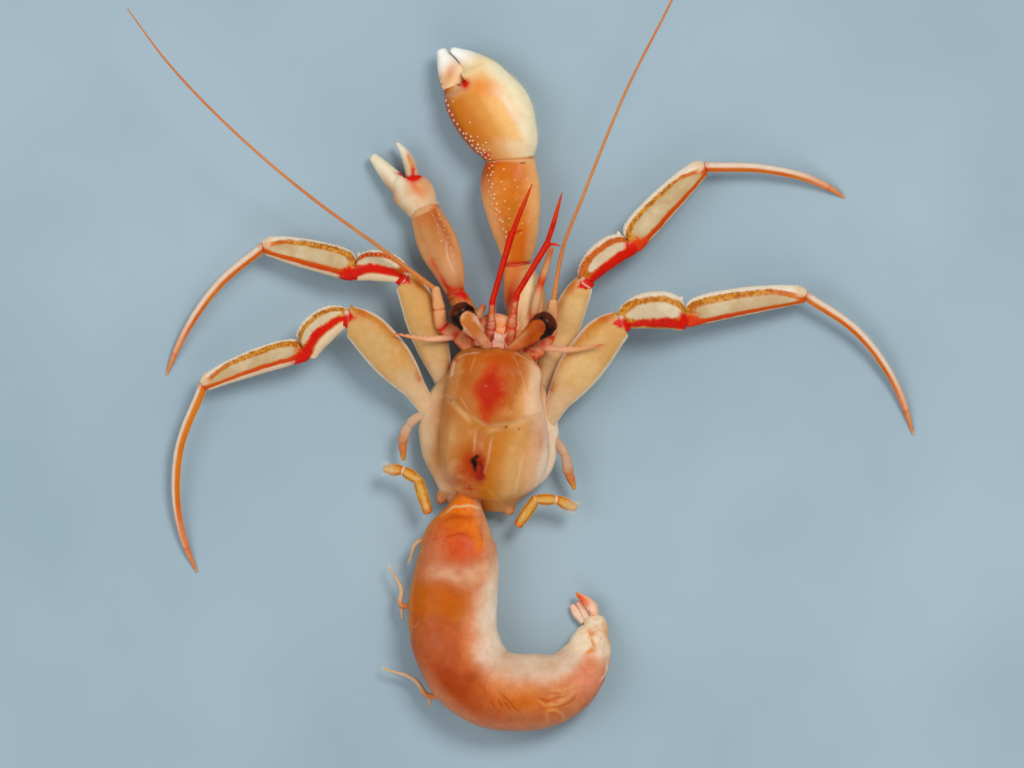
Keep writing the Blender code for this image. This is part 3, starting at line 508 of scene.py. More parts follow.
def hairs(name, roots, ways, lengths, radius, colour, slot):
    """Fine bristles, each a bent tapered tube."""
    skins = []
    for root, way, length in zip(roots, ways, lengths):
        root, way = np.array(root, float), unit(np.array(way, float))
        tip = root + way * length + (0.0, 0.0, -0.18 * length)
        places = (root - way * 0.1, root + way * length * 0.5, tip)
        rows = [(*place, radius * share, radius * share) for place, share in zip(places, (1.0, 0.8, 0.3))]
        skins.append(loft(rows, 5, 5, domes=(0.01, 0.01), dome_rings=1))
    skin = joined(skins)
    tint = paint(colour, (WHITE, 0.3 + 0.3 * noise(skin.points, 0.5, 3)))
    piece(name, skin, tint, "hair", slot)


def tuft(name, before, tip, swing, spread, splay, backs, lengths, radius, colour, slot):
    """Bristles at a tip, set back from it, each leaning sideways by a sine of its number."""
    way = unit(tip - before)
    turn = np.cross((0.0, 0.0, 1.0), way)
    leans = [math.sin(swing * k) for k in range(len(backs))]
    hairs(name, [tip - way * back + turn * spread * lean for back, lean in zip(backs, leans)],
          [way + turn * splay * lean for lean in leans], lengths, radius, colour, slot)


# Body

UPPER_BODY = [(0.0, 3.3, 3.5, 2.7, 2.7, 2.5, 2.6), (0.0, 2.4, 3.5, 3.55, 3.65, 3.1, 3.2),
              (0.0, 0.5, 3.5, 3.9, 4.0, 3.5, 3.5), (0.0, -2.4, 3.5, 4.0, 5.0, 3.5, 3.5),
              (0.0, -5.2, 3.4, 3.8, 5.5, 3.2, 3.4), (-0.1, -7.4, 3.2, 3.2, 4.7, 2.6, 3.2),
              (-0.2, -8.6, 3.0, 1.9, 3.0, 1.7, 2.6)]
LOWER_BODY = [(0.0, 2.4, 2.0, 3.0, 3.1, 1.8, 2.1), (0.0, 0.6, 2.1, 4.3, 4.5, 2.0, 2.2),
              (0.0, -1.6, 2.1, 5.5, 5.7, 2.3, 2.2), (0.0, -4.0, 2.1, 5.7, 6.2, 2.4, 2.2),
              (0.0, -6.6, 2.0, 4.8, 5.6, 2.0, 2.1), (0.0, -8.6, 1.7, 3.4, 3.8, 1.5, 1.8),
              (0.0, -9.7, 1.3, 2.6, 2.8, 0.9, 1.4)]
CERVICAL_GROOVE = [(-9.0, 0.2), (-3.43, -1.3), (-1.5, -2.65), (0.0, -3.35), (2.2, -2.35), (4.4, -1.0),
                   (9.0, 0.6)]
SHIELD_FRONT = [(-3.7, 2.0), (-3.3, 2.6), (-2.87, 2.86), (-2.2, 3.02), (-1.58, 3.10), (-0.9, 3.28),
                (-0.25, 3.62), (0.5, 3.46), (1.16, 3.44), (2.11, 3.47), (2.9, 3.32), (3.49, 3.0), (3.8, 2.3)]
CARAPACE_MARKS = {
    "inner": [([(476, 430), (473, 456)], 0.1), ([(493, 434), (489, 455), (484, 478)], 0.1)],
    "outer": [([(522, 452), (518, 478), (514, 496)], 0.08)],
    "brim": [([(448, 424), (443, 455), (446, 480), (462, 488)], 0.25), ([(540, 425), (543, 455)], 0.3)],
    "sunk": [([(474, 456), (477, 472)], 0.45)],
    "lobes": [(456, 458, 1.3, 3.4, -9), (508, 465, 1.4, 3.6, -9)],
}
CARAPACE_LAYERS = {
    # Painted light: pale spots low on the left rear and right sides, against the shade on the slopes.
    "corners": [((232, 202, 168), 0.9, (438, 492, 1.6, 1.8)), ((255, 214, 182), 0.8, (546, 411, 0.9, 1.6))],
    "flanks": [((186, 86, 8), 0.5, (468, 458, 0.45, 2.2, -9), (456, 480, 0.9, 0.7)),
               (AMBER, 0.6, (499, 450, 0.8, 2.8, -9), (486, 484, 0.8, 0.7)),
               ((226, 182, 124), 0.5, (450, 438, 0.6, 1.6), (514, 478, 0.7, 1.8))],
    "blush": [(BLUSH, 0.25, (541, 436, 0.8, 2.0), (438, 412, 1.2, 1.2))],
    "rims": [((222, 160, 40), 0.5, ([(442, 484), (452, 490), (463, 486)], 0.12),
              ([(486, 488), (500, 500), (514, 498)], 0.12))],
    "dark mass inside": [((182, 60, 2), 1.0, (469, 465, 0.75, 1.4, 4), (479, 469, 0.6, 1.1, 8)),
                         ((156, 34, 0), 1.2, (480, 468, 0.42, 0.95, 4), (481, 476, 0.34, 0.4)),
                         ((104, 12, 0), 0.7, ([(477, 461), (483, 468), (482, 479)], 0.1)),
                         (BLACK, 1.2, (474, 461, 0.28, 0.3), (477, 457, 0.16, 0.14),
                          ([(475, 461), (474, 472)], 0.1))],
    "red lines": [((190, 30, 4), 0.9, ([(463, 489), (469, 488), (477, 489)], 0.06),
                   ([(472, 480), (470, 487), (472, 495)], 0.06))],
    "specks": [(BLACK, 1.2, (506, 427, 0.09), (519, 429, 0.07), (451, 400, 0.07))],
}


def groove_y(x):
    return np.interp(x, *zip(*CERVICAL_GROOVE))


def make_carapace():
    skins = [loft(UPPER_BODY, 60, 90, LEFT, 2.5, (0.45, 0.45), grow=-0.05),
             loft(LOWER_BODY, 50, 90, LEFT, 2.2, (0.4, 0.35), grow=-0.03),
             *(ball((x, -9.5, 1.7), (0.5, 0.65, 0.5)) for x in (-2.9, 2.9))]
    skin = remeshed(skins, 0.1, 14)
    p = skin.points
    top = ramp(skin.normals()[:, 2], 0.2, 0.7)
    from_groove = p[:, 1] - groove_y(p[:, 0])
    behind = ramp(from_groove, -0.1, -0.4)
    inner, outer, brim, sunk, lobes = (marks(p, *places) for places in CARAPACE_MARKS.values())
    inner, lobes = np.clip(inner, 0, 1), np.clip(lobes, 0, 1)
    wrinkle = np.cos((p[:, 0] + 0.5 * noise(p, 1.6, 36)) * TAU / 0.9) * cloud(p, 1.5, 37, 0.0, 0.6)
    skin.push(top * behind * (-0.08 * inner - 0.04 * outer - 0.16 * sunk + 0.12 * lobes - 0.05 * brim)
              + 0.06 * noise(p, 1.6, 4) + 0.02 * noise(p, 0.35, 3) + 0.015 * wrinkle * behind)
    p = skin.points
    front = ramp(p[:, 1] - np.interp(p[:, 0], *zip(*SHIELD_FRONT)), -0.25, 0.5) * ramp(p[:, 2], 3.0, 5.0)
    p[:, 2] = np.maximum(p[:, 2] - 1.5 * front, 0.0)
    seam = near(from_groove, -0.1, 0.32) * top * 0.5 * cloud(p, 1.1, 8, -0.7, 0.2)
    rear = ramp(p[:, 1], -8.7, -9.4) * ramp(np.abs(p[:, 0]), 2.0, 2.5)
    small = noise(p, 0.45, 38)
    warp = warped(p, 1.3, (5, 6, 7), 0.35)
    x = warp[:, 0]
    tint = paint(
        (194, 122, 46),
        ((190, 110, 28), cloud(p, 2.2, 2, -0.4, 0.4)),
        ((212, 154, 86), ramp(x, 0.6, 2.6)),
        # Paler towards both sloping sides, with the corner spots: painted light against the shade that falls
        # on the slopes.
        ((200, 160, 114), ramp(x, -3.4, -4.6) * 0.95),
        ((230, 184, 144), ramp(x, 3.1, 4.5) * 0.95),
        ((250, 230, 204), ramp(x, 4.2, 5.4) * 0.85),
        ((226, 194, 154), ramp(x, -4.2, -5.2) * 0.9),
        *layers(warp, CARAPACE_LAYERS["corners"]),
        ((198, 120, 66), behind * ramp(np.abs(x + 0.5), 1.0, 0.4) * 0.75),
        *layers(warp, CARAPACE_LAYERS["flanks"]),
        ((178, 98, 30), brim * behind * top * 0.2),
        *layers(warp, CARAPACE_LAYERS["blush"]),
        ((224, 178, 124), cloud(warp, 0.9, 40, 0.2, 0.7) * 0.35),
        ((184, 98, 24), ramp(small, 0.2, 0.7) * 0.2 * behind),
        ((240, 206, 160), inner * top * 0.4 * behind),
        ((244, 216, 176), outer * top * 0.35),
        *layers(p, CARAPACE_LAYERS["rims"]),
        # Paler along the groove: partly the pale line the shell has there, partly painted light against the
        # shade in the crease.
        ((232, 190, 130), seam * ramp(np.abs(p[:, 0] + 0.7), 0.3, 1.3)),
        *layers(warped(p, 0.5, (41, 42, 43), 0.22), CARAPACE_LAYERS["dark mass inside"], top),
        *layers(p, CARAPACE_LAYERS["red lines"], cloud(p, 0.4, 9, -0.6, 0.1)),
        *layers(p, CARAPACE_LAYERS["specks"]),
        (DEEP_RED, front * cloud(p, 0.6, 10, -0.4, 0.2) * 0.8),
        ((206, 140, 88), rear * 0.9),
        ((196, 100, 24), rear * ramp(small, 0.0, 0.5) * 0.8),
    )
    piece("carapace", skin, tint, "carapace", "shell_cream", "thorax")


def body_outline(y):
    """The upper body's middle, height and half widths at places along it."""
    rows = smooth_rows(UPPER_BODY, 200)
    rows = rows[np.argsort(rows[:, 1])]
    return (np.interp(y, rows[:, 1], rows[:, k]) for k in (0, 2, 3, 4, 5))


def body_top(x, y):
    cx, cz, front, back, high = body_outline(y)
    side = x - cx
    share = np.clip(np.abs(side) / np.where(side < 0, front, back), 0.0, 0.995)
    return cz + high * (1 - share**2.5) ** 0.4


SHIELD_VEINS = [([(517, 366), (524, 380), (528, 404)], 0.08), ([(476, 356), (470, 372)], 0.07),
                ([(511, 354), (521, 369)], 0.06), ([(458, 395), (470, 412)], 0.07)]
SHIELD_DIPS = [([(487, 366), (482, 388), (486, 412)], 0.25), ([(505, 366), (508, 390), (500, 412)], 0.25)]
SHIELD_GRAINS = [(458, 366), (461, 372), (457, 380), (533, 362), (536, 370), (538, 380), (536, 392),
                 (502, 384), (486, 386), (511, 412)]
SHIELD_SPOTS = [((210, 142, 78), 0.8, (514, 414, 1.7, 0.6)),
                ((194, 84, 8), 0.8, (497, 358, 2.2, 0.9), (503, 376, 1.5, 1.6))]
SHIELD_CORNERS = [(RED, 0.9, (538, 359, 0.25), (456, 360, 0.2))]
KITE_TOP = (491, 392)


def make_shield():
    across, back = 170, 140
    p, q = np.meshgrid(np.linspace(-1, 1, across), np.linspace(0, 1, back), indexing="ij")
    lean = np.sin(p * math.pi / 2 * 0.985)
    inset = 1 - np.abs(lean)
    x0 = lean * 3.78
    front_y = np.interp(x0, *zip(*SHIELD_FRONT))
    y = front_y + q * (groove_y(x0) + 0.1 - front_y)
    _, _, left, right, _ = body_outline(y)
    x = lean * np.where(lean < 0, left, right) * 0.97
    z = body_top(x, np.minimum(y, 3.2)) - 0.9 * np.clip(y - 3.2, 0, 1) ** 1.5
    flat = np.stack([x, y, z], axis=-1).reshape(-1, 3)
    front_edge = np.minimum(q * 6.5, inset * 3.8 + 6 * ramp(q, 0.45, 0.8))
    rim = (near(front_edge, 0.18, 0.11) * ramp(np.abs(lean), 0.4, 0.75)).ravel()
    rim = rim * cloud(flat, 0.8, 18, -0.8, 0.2)
    edge = np.minimum(np.minimum(q, inset * 0.6) * 6.5, 8.0).ravel()
    rear = ramp(q, 0.91, 1.0).ravel()
    veins, dips = (np.clip(marks(flat, *places), 0, 1) for places in (SHIELD_VEINS, SHIELD_DIPS))
    lift = (0.10 + 0.06 * rim - 0.14 * near(edge, 0.0, 0.12) - 0.16 * rear - 0.05 * dips + 0.03 * veins
            + 0.04 * noise(flat, 0.9, 8) + 0.015 * noise(flat, 0.22, 9))
    top = flat.copy()
    top[:, 2] += lift
    under = flat * (0.985, 0.985, 1.0) - (0.0, 0.0, 0.4)
    n = across * back
    at = np.arange(n).reshape(across, back)
    quads = np.stack([at[:-1, :-1], at[1:, :-1], at[1:, 1:], at[:-1, 1:]], axis=-1).reshape(-1, 4)
    loop = np.concatenate([at[:, 0], at[-1, 1:], at[-2::-1, -1], at[0, -2:0:-1]])
    after = np.roll(loop, -1)
    border = np.stack([loop, after, after + n, loop + n], axis=-1)
    zero = np.zeros(2 * n)
    faces = [np.concatenate([quads[:, ::-1], quads + n, border])]
    skin = Skin(np.concatenate([top, under]), faces, zero, zero, zero).turn_out()
    grains = [plan(*pixel) for pixel in SHIELD_GRAINS]
    mask = skin.bead([(gx, gy, body_top(gx, min(gy, 3.2)) + 0.12) for gx, gy in grains], 0.08, 0.04)
    p = skin.points
    warp = warped(p, 0.8, (12, 13, 14), 0.4)

    def tops(values):
        """Values on the upper face, and none on the lower one."""
        return np.concatenate([values, np.zeros(n)])

    # The red patch is a kite whose point lies at the groove
    kite = plan(*KITE_TOP)[1] - warp[:, 1]
    half = np.where(kite < 0, 1.6 + 0.55 * kite, 1.6 - 0.52 * kite)
    inside = half - np.abs(warp[:, 0] + 0.18 + 0.02 * kite)
    front = tops(near(q.ravel(), 0.0, 0.025)) * ramp(np.abs(p[:, 0]), 0.9, 1.5)
    tint = paint(
        (190, 112, 44),
        ((186, 96, 22), cloud(p, 1.6, 15, -0.4, 0.5)),
        ((228, 164, 98), ramp(warp[:, 0], 1.8, 2.6)),
        ((255, 214, 174), ramp(warp[:, 0], 2.4, 3.4) * 0.9),
        ((206, 142, 80), ramp(warp[:, 0], -2.6, -3.3) * 0.8),
        *layers(warp, SHIELD_SPOTS),
        ((196, 66, 8), ramp(inside, -0.45, 0.35) * 0.9),
        ((188, 34, 0), ramp(inside + 0.3 * noise(p, 0.5, 28), 0.1, 0.9) * 0.9),
        ((206, 110, 50), cloud(p, 0.45, 16, 0.3, 0.7) * 0.35),
        ((250, 230, 200), tops(rim) * 0.55),
        ((240, 200, 150), tops(veins) * 0.2),
        # Paler along the rear edge: partly the shell's pale rim, partly painted light against the shade in
        # the crease at the seam.
        ((226, 178, 118), tops(rear) * 0.5),
        (DEEP_RED, front * cloud(p, 0.6, 17, -0.5, 0.2) * 0.8),
        *layers(p, SHIELD_CORNERS),
        (WHITE, mask * 0.15),
    )
    piece("shield_plate", skin, tint, "carapace", "shell_cream", "shield")


# Head

CORNEAS = {LEFT: (-3.5, 5.78, 5.7), RIGHT: (3.34, 6.05, 5.7)}


def make_eye(side):
    base, cornea = np.array((0.95 * side, 3.45, 4.7)), np.array(CORNEAS[side])
    length = np.linalg.norm(cornea - base)
    way = (cornea - base) / length
    sideways = unit(np.cross((0.0, 0.0, 1.0), way))
    name = SIDES[side]
    rows = stops(base, base + way * (length + 0.15),
                 (0, 0.44, 0.40), (0.35, 0.54, 0.48), (0.66, 0.84, 0.74), (0.85, 1.0, 0.9), (1, 0.98, 0.92))
    stalk = loft(rows, 70, 72, side, domes=(0.2, 0.35), dome_rings=12)
    stalk.push(0.03 * noise(stalk.points, 0.5, 20 + side) - 0.03 * near(stalk.u, 0.3, 0.04))

    def paint_eye(p, t):
        """The tint, and the share of the stalk's tongue that runs up over the cornea."""
        a, b = (p - cornea) @ way, (p - cornea) @ sideways - 0.12 * side
        tongue = 1 - ((a + 0.55) / 0.92) ** 2 - (b / 0.72) ** 2 + 0.12 * noise(p, 0.35, 26)
        tongue = ramp(tongue, -0.15, 0.2) * ramp(t, -0.1, 0.3)
        dark = ramp(a + 0.75 * ramp(np.abs(b), 0.42, 1.0), -0.4, -0.26) * (1 - tongue)
        eye = paint(BLACK, ((92, 34, 8), ramp(a + 0.3 * noise(p, 0.5, 24), 0.35, 0.95) * 0.85),
                    ((128, 62, 22), cloud(p, 0.14, 25, 0.1, 0.6) * ramp(a, 0.2, 0.8) * 0.6),
                    ((110, 8, 0), near(tongue, 0.5, 0.3) * 0.5))
        if side == RIGHT:
            tint = paint((190, 88, 18), ((164, 58, 4), cloud(p, 0.9, 21, -0.4, 0.4)),
                         ((206, 112, 54), ramp(a, -1.7, -2.6) * 0.8),
                         (PALE, near(b, 0.3, 0.2) * ramp(a, -0.9, -1.8) * 0.5))
            eye = paint(eye, ((104, 48, 18), ramp(b, 0.35, 0.9) * 0.7))
        else:
            tint = paint((204, 118, 48), ((226, 170, 124), cloud(p, 0.8, 22, -0.3, 0.4) * 0.8),
                         ((242, 212, 178), ramp(np.abs(b - 0.1), 0.35, 0.6) * ramp(a, -0.2, -0.9) * 0.7),
                         ((210, 140, 104), ramp(a, -1.6, -2.6) * 0.8))
        edges = near(np.abs(b), 0.75, 0.16) * ramp(a, -0.6, -1.3) * 0.5
        return paint(tint, (CORAL, edges), (eye, dark)), tongue

    tint, _ = paint_eye(stalk.points, stalk.t)
    piece(f"eyestalk_skin_{name}", stalk, tint, "membrane", "eyestalk", f"eyestalk_{name}")
    globe = stops(cornea, cornea + way, (-0.6, 0.97, 0.88), (-0.1, 1.12, 1.02), (0.4, 0.98, 0.90))
    eye = loft(globe, 34, 96, side, domes=(0.3, 0.62), dome_rings=22)
    eye.press(cornea - way * 0.37, -way, 0.15)
    tint, tongue = paint_eye(eye.points, eye.t)
    eye.push(-0.17 * ramp(tongue, 0.2, 0.9))
    piece(f"cornea_globe_{name}", eye, tint, "cornea", "cornea", f"cornea_{name}")


def make_ocular_acicles():
    skins = [loft([(-0.2, 3.6, 4.75, 0.70, 0.3), (-0.1, 4.3, 4.85, 0.45, 0.25)], 20, 40)]
    for side in (LEFT, RIGHT):
        root, way = np.array((0.3 * side - 0.1, 4.35, 4.85)), unit(np.array((0.35 * side, 1.0, 0.0)))
        rows = stops(root, root + way * 0.5, (-0.5, 0.26), (0.5, 0.26 * 0.6), (1, 0.26 * 0.15))
        skins.append(loft(rows, 24, 20, domes=(0.1, 0.03)))
    skin = joined(skins)
    skin.push(0.015 * noise(skin.points, 0.3, 29))
    p = skin.points
    beside = ramp(np.abs(p[:, 0] + 0.15) + 0.15 * noise(p, 0.3, 34), 0.38, 0.55)
    tint = paint((226, 168, 142), ((236, 196, 170), cloud(p, 0.5, 30, -0.2, 0.4) * 0.7),
                 (RED, beside * ramp(p[:, 1], 4.75, 4.4) * 0.9))
    piece("ocular_acicle_pair", skin, tint, "membrane", "eyestalk", "ocular_acicles")


def make_mouth_field():
    skin = loft([(-0.1, 2.9, 3.3, 2.3, 0.9), (-0.1, 4.2, 3.3, 2.15, 0.8), (0.1, 5.75, 3.0, 1.8, 0.6)],
                60, 60, domes=(0.3, 0.6))
    skin.push(0.10 * noise(skin.points, 0.8, 35) + 0.04 * noise(skin.points, 0.25, 36))
    tint = paint((252, 170, 104), ((250, 204, 172), cloud(skin.points, 0.8, 37, -0.3, 0.4) * 0.6),
                 (RED, near(noise(skin.points, 0.7, 38), 0.0, 0.07) * 0.55))
    piece("mouth_field", skin, tint, "membrane", "soft_skin")


ANTENNULES = {
    LEFT: {"basal": [(-0.85, 3.3, 3.5), (-0.95, 4.9, 3.9), (-1.2, 7.3, 4.7)],
           "last": (-0.48, 13.17, 6.7), "upper": (0.54, 17.38, 7.9), "lower": (0.35, 13.5, 6.5)},
    RIGHT: {"basal": [(0.65, 3.3, 3.5), (0.70, 5.2, 3.9), (0.72, 8.2, 4.8)],
            "last": (2.61, 12.82, 6.5), "upper": (3.11, 17.11, 7.7), "lower": (3.7, 12.7, 6.3)},
}


def make_antennule(side):
    name, joints = SIDES[side], ANTENNULES[side]
    first, second, third = (np.array(p) for p in joints["basal"])
    last, upper, lower = (np.array(joints[key]) for key in ("last", "upper", "lower"))
    stem = loft([(*first, 0.52, 0.50), (*second, 0.50, 0.45), *stops(second, third, (0.5, 0.30), (1, 0.26))],
                90, 40, domes=(0.2, 0.3))
    joint = near(stem.u, 0.42, 0.03)
    stem.push(-0.06 * joint + 0.04 * noise(stem.points, 0.35, 31))
    p = stem.points
    tint = paint((208, 112, 60), ((216, 152, 118), cloud(p, 0.5, 39, -0.3, 0.4)),
                 (CORAL, near(np.abs(stem.f), 0.8, 0.22) * 0.7),
                 (RED, near(noise(p, 0.5, 36), 0.0, 0.08) * 0.8),
                 (RED, ramp(stem.u + 0.06 * noise(p, 0.4, 32), 0.84, 0.97) + joint * 0.7))
    piece(f"antennule_{name}_stem", stem, tint, "feeler", "feeler", f"antennule_{name}_base")
    rod = loft(stops(third, last, (0, 0.25), (0.5, 0.25), (1, 0.29, 0.27)), 90, 28, domes=(0.25, 0.1))
    rows = [*stops(last, third, (0.06, 0.22)), *stops(last, upper, (0.35, 0.22), (0.8, 0.13), (1, 0.04))]
    lash = loft(rows, 200, 24, domes=(0.1, 0.05))
    lash.push(-0.015 * (0.5 + 0.5 * np.cos(lash.u * TAU * 24)) * (lash.u < 0.97))
    rows = [*stops(last, third, (0.03, 0.17)), *stops(last, lower, (0.5, 0.13), (1, 0.05))]
    branch = loft(rows, 50, 18, domes=(0.1, 0.05))
    branch.push(-0.015 * (0.5 + 0.5 * np.cos(branch.u * TAU * 6)))
    skin = joined([rod, lash, branch])
    lit = [near(rod.f, 0.2, 0.3) * 0.25, 0.1 + 0.1 * np.cos(lash.u * TAU * 24) + 0.5 * ramp(lash.u, 0.3, 0.9),
           0.3 * np.ones(len(branch.u))]
    tint = paint(RED, (ORANGE, np.concatenate(lit)),
                 ((170, 4, 0), cloud(skin.points, 0.8, 33, 0.0, 0.5) * 0.5))
    piece(f"antennule_{name}_flagella", skin, tint, "feeler", "red_shell", f"antennule_{name}_lash")


ANTENNAE = {
    LEFT: {"base": (-2.2, 3.1, 3.3), "hip": (-3.5, 4.0, 3.4), "elbow": (-5.05, 4.7, 3.9),
           "wrist": (-6.0, 7.5, 4.5), "acicle": [(-5.9, 3.35, 4.3), (-8.8, 3.33, 4.9)],
           "red spot": (455, 335, 0.35),
           "lash": [(-10.74, 10.03, 5.6), (-17.4, 13.44, 6.9), (-24.22, 17.59, 7.6),
                    (-31.22, 22.9, 7.9), (-34.9, 26.5, 8.0)]},
    RIGHT: {"base": (2.2, 3.1, 3.3), "hip": (3.3, 4.1, 3.4), "elbow": (3.95, 5.6, 3.9),
            "wrist": (3.8, 8.0, 4.5), "acicle": [(6.2, 4.4, 5.35), (8.47, 5.14, 5.7)],
            "red spot": (543, 344, 0.35),
            "lash": [(3.9, 12.46, 5.6), (4.93, 17.32, 6.5), (7.16, 26.7, 7.4), (9.65, 34.43, 7.9),
                     (11.5, 41.2, 8.0)]},
}
LASH_RADII = (0.23, 0.16, 0.14, 0.12, 0.10, 0.06)


def make_antenna(side):
    name, parts = SIDES[side], ANTENNAE[side]
    base, hip, elbow, wrist = (np.array(parts[key]) for key in ("base", "hip", "elbow", "wrist"))
    stem = loft([(*base, 0.75, 0.55), (*hip, 0.66, 0.52),
                 *stops(elbow, wrist, (0, 0.56, 0.46), (0.5, 0.52, 0.44), (1, 0.36, 0.34))],
                120, 44, side, domes=(0.3, 0.3))
    joints = near(stem.u, 0.28, 0.02) + near(stem.u, 0.5, 0.02) + near(stem.u, 0.74, 0.015)
    stem.push(-0.07 * joints + 0.03 * noise(stem.points, 0.5, 40))
    p = stem.points
    foot = ramp(stem.u, 0.3, 0.1) * cloud(p, 0.5, 44, 0.0, 0.3)
    tint = paint(
        (226, 138, 88),
        ((230, 164, 122), cloud(p, 0.8, 41, -0.2, 0.5)),
        ((226, 168, 112), ramp(stem.u, 0.45, 0.7) * 0.8),
        (CORAL, ramp(np.abs(stem.f), 0.7, 0.95) * cloud(p, 0.7, 43, -0.4, 0.2) * 0.6),
        (RED, near(stem.u, 0.5, 0.04) * ramp(stem.t, -0.2, 0.3) * 0.6 + joints * 0.4),
        (RED, (blot(p, *parts["red spot"]) + foot) * 0.8),
    )
    piece(f"antenna_{name}_stem", stem, tint, "feeler", "feeler", f"antenna_{name}_base")
    first, tip = (np.array(p) for p in parts["acicle"])
    rows = [(*hip, 0.30, 0.28), (*first, 0.22, 0.2), (*tip, 0.06, 0.06)]
    acicle = loft(rows, 90, 24, side, domes=(0.1, 0.06))
    teeth = [acicle.points[np.argmin(np.abs(acicle.u - s) + np.abs(acicle.f - 1))]
             for s in np.linspace(0.35, 0.9, 7)]
    mask = acicle.bead(teeth, 0.09, 0.06)
    tint = paint((238, 176, 136), ((228, 158, 106), ramp(acicle.u, 0.4, 0.7)),
                 (CORAL, ramp(acicle.u, 0.75, 1.0) * 0.7 + ramp(acicle.u, 0.2, 0.05) * 0.6),
                 (WHITE, mask * 0.4))
    piece(f"antenna_{name}_scale", acicle, tint, "feeler", "feeler")
    rows = [(*p, r, r) for p, r in zip([wrist, *parts["lash"]], LASH_RADII)]
    lash = loft(rows, 1100, 12, domes=(0.1, 0.06))
    wave = 0.5 + 0.5 * np.cos(lash.u * TAU * 130)
    lash.push(-0.012 * wave)
    tint = paint((212, 132, 66), ((206, 116, 46), cloud(lash.points, 3.0, 42, -0.3, 0.4)), (PALE, 0.3 * wave))
    piece(f"antenna_{name}_flagellum", lash, tint, "feeler", "feeler", f"antenna_{name}_lash")


MAXILLIPEDS = {
    LEFT: [(-0.9, 3.2, 2.6), (-1.7, 4.7, 3.2), (-2.2, 5.8, 3.5), (-1.9, 6.7, 3.4)],
    RIGHT: [(1.9, 3.2, 2.7), (2.35, 5.6, 3.75), (2.45, 8.4, 4.35), (2.95, 12.3, 4.7)],
}


def make_maxilliped(side):
    name = SIDES[side]
    rows = [(*p, r, r) for p, r in zip(MAXILLIPEDS[side], (0.40, 0.38, 0.36, 0.22))]
    skin = loft(rows, 80, 28, domes=(0.2, 0.25))
    joints = near(skin.u, 0.36, 0.03) + near(skin.u, 0.68, 0.03)
    skin.push(-0.06 * joints + 0.02 * noise(skin.points, 0.4, 45))
    tint = paint(PALE, (CORAL, near(skin.u, 0.36, 0.08) + near(skin.u, 0.7, 0.08)),
                 (ORANGE, ramp(skin.u, 0.75, 1.0) * 0.7))
    piece(f"maxilliped_{name}_palp", skin, tint, "feeler", "feeler", f"maxilliped_{name}")


# Chelipeds

CLAWS = {
    RIGHT: {
        "merus": [(2.0, 2.4, 2.0, 1.25, 1.25), (2.05, 5.6, 2.0, 1.60, 1.45), (1.3, 8.3, 2.0, 1.70, 1.55),
                  (0.35, 10.7, 2.1, 1.15, 1.2)],
        "carpus": [(0.35, 10.7, 2.1, 1.12, 1.2), (0.0, 12.6, 2.25, 1.72, 1.65),
                   (-0.68, 15.0, 2.4, 2.28, 2.05), (-1.28, 17.2, 2.45, 2.48, 2.15),
                   (-1.52, 19.2, 2.4, 2.05, 1.9)],
        "hand": [(-1.47, 19.2, 2.4, 2.05, 2.0, 1.85, 1.9), (-2.05, 20.55, 2.4, 2.6, 2.7, 2.3, 2.4),
                 (-2.95, 21.75, 2.4, 2.95, 3.3, 2.5, 2.6), (-4.2, 23.2, 2.35, 3.1, 3.45, 2.45, 2.5),
                 (-5.3, 24.55, 2.25, 2.9, 2.95, 2.2, 2.25), (-6.0, 25.4, 2.15, 2.45, 2.45, 1.8, 2.0)],
        "fixed": [(-3.3, 24.2, 2.3, 1.7, 1.9), (-4.5, 25.7, 2.2, 1.45, 1.6),
                  (-6.05, 26.7, 2.1, 0.95, 1.15), (-7.7, 27.35, 2.0, 0.42, 0.5)],
        "dactyl": [(-6.95, 23.9, 2.3, 0.98, 1.2, 1.1, 1.1), (-7.6, 25.2, 2.3, 0.95, 1.3, 1.1, 1.1),
                   (-8.2, 26.3, 2.2, 0.70, 0.95, 0.88, 0.88), (-8.66, 27.15, 2.1, 0.40, 0.52, 0.5, 0.5)],
        "hinge": ((-7.14, 24.54, 2.3), (-0.42, 0.91, 0.0)),
        "gape": [(-9.6, 23.41), (-6.22, 24.97), (-8.38, 27.42), (-9.2, 28.5), (-11.0, 28.0)],
    },
    LEFT: {
        "merus": [(-1.3, 2.4, 1.9, 0.90, 0.95), (-2.5, 4.9, 1.95, 1.02, 1.0), (-4.4, 7.6, 2.0, 0.80, 0.85)],
        "carpus": [(-4.4, 7.6, 2.0, 0.80, 0.85), (-5.1, 9.1, 2.0, 1.26, 1.2), (-6.38, 11.2, 1.95, 1.68, 1.4),
                   (-7.82, 13.6, 1.8, 1.34, 1.2)],
        "hand": [(-7.84, 13.6, 1.7, 1.24, 1.1), (-8.5, 14.6, 1.5, 1.60, 1.4),
                 (-9.35, 15.55, 1.4, 1.74, 1.55), (-10.0, 16.2, 1.35, 1.35, 1.3)],
        "fixed": [(-9.9, 15.45, 1.3, 1.0, 1.15), (-11.0, 16.1, 1.25, 0.80, 0.88),
                  (-12.1, 16.98, 1.15, 0.60, 0.66), (-12.85, 17.58, 1.05, 0.40, 0.42)],
        "dactyl": [(-9.35, 16.2, 1.6, 0.60, 0.7), (-9.7, 17.3, 1.6, 0.52, 0.62),
                   (-10.35, 18.35, 1.5, 0.38, 0.45), (-10.95, 18.95, 1.4, 0.2, 0.22)],
        "hinge": ((-9.5, 16.45, 1.6), (-0.3, 0.95, 0.0)),
        "gape": [(-10.1, 16.3), (-8.75, 16.78), (-8.1, 16.5), (-7.6, 16.05), (-7.3, 15.5), (-7.1, 14.8),
                 (-6.0, 14.8), (-6.0, 20.0), (-12.0, 20.0), (-11.0, 17.35)],
    },
}
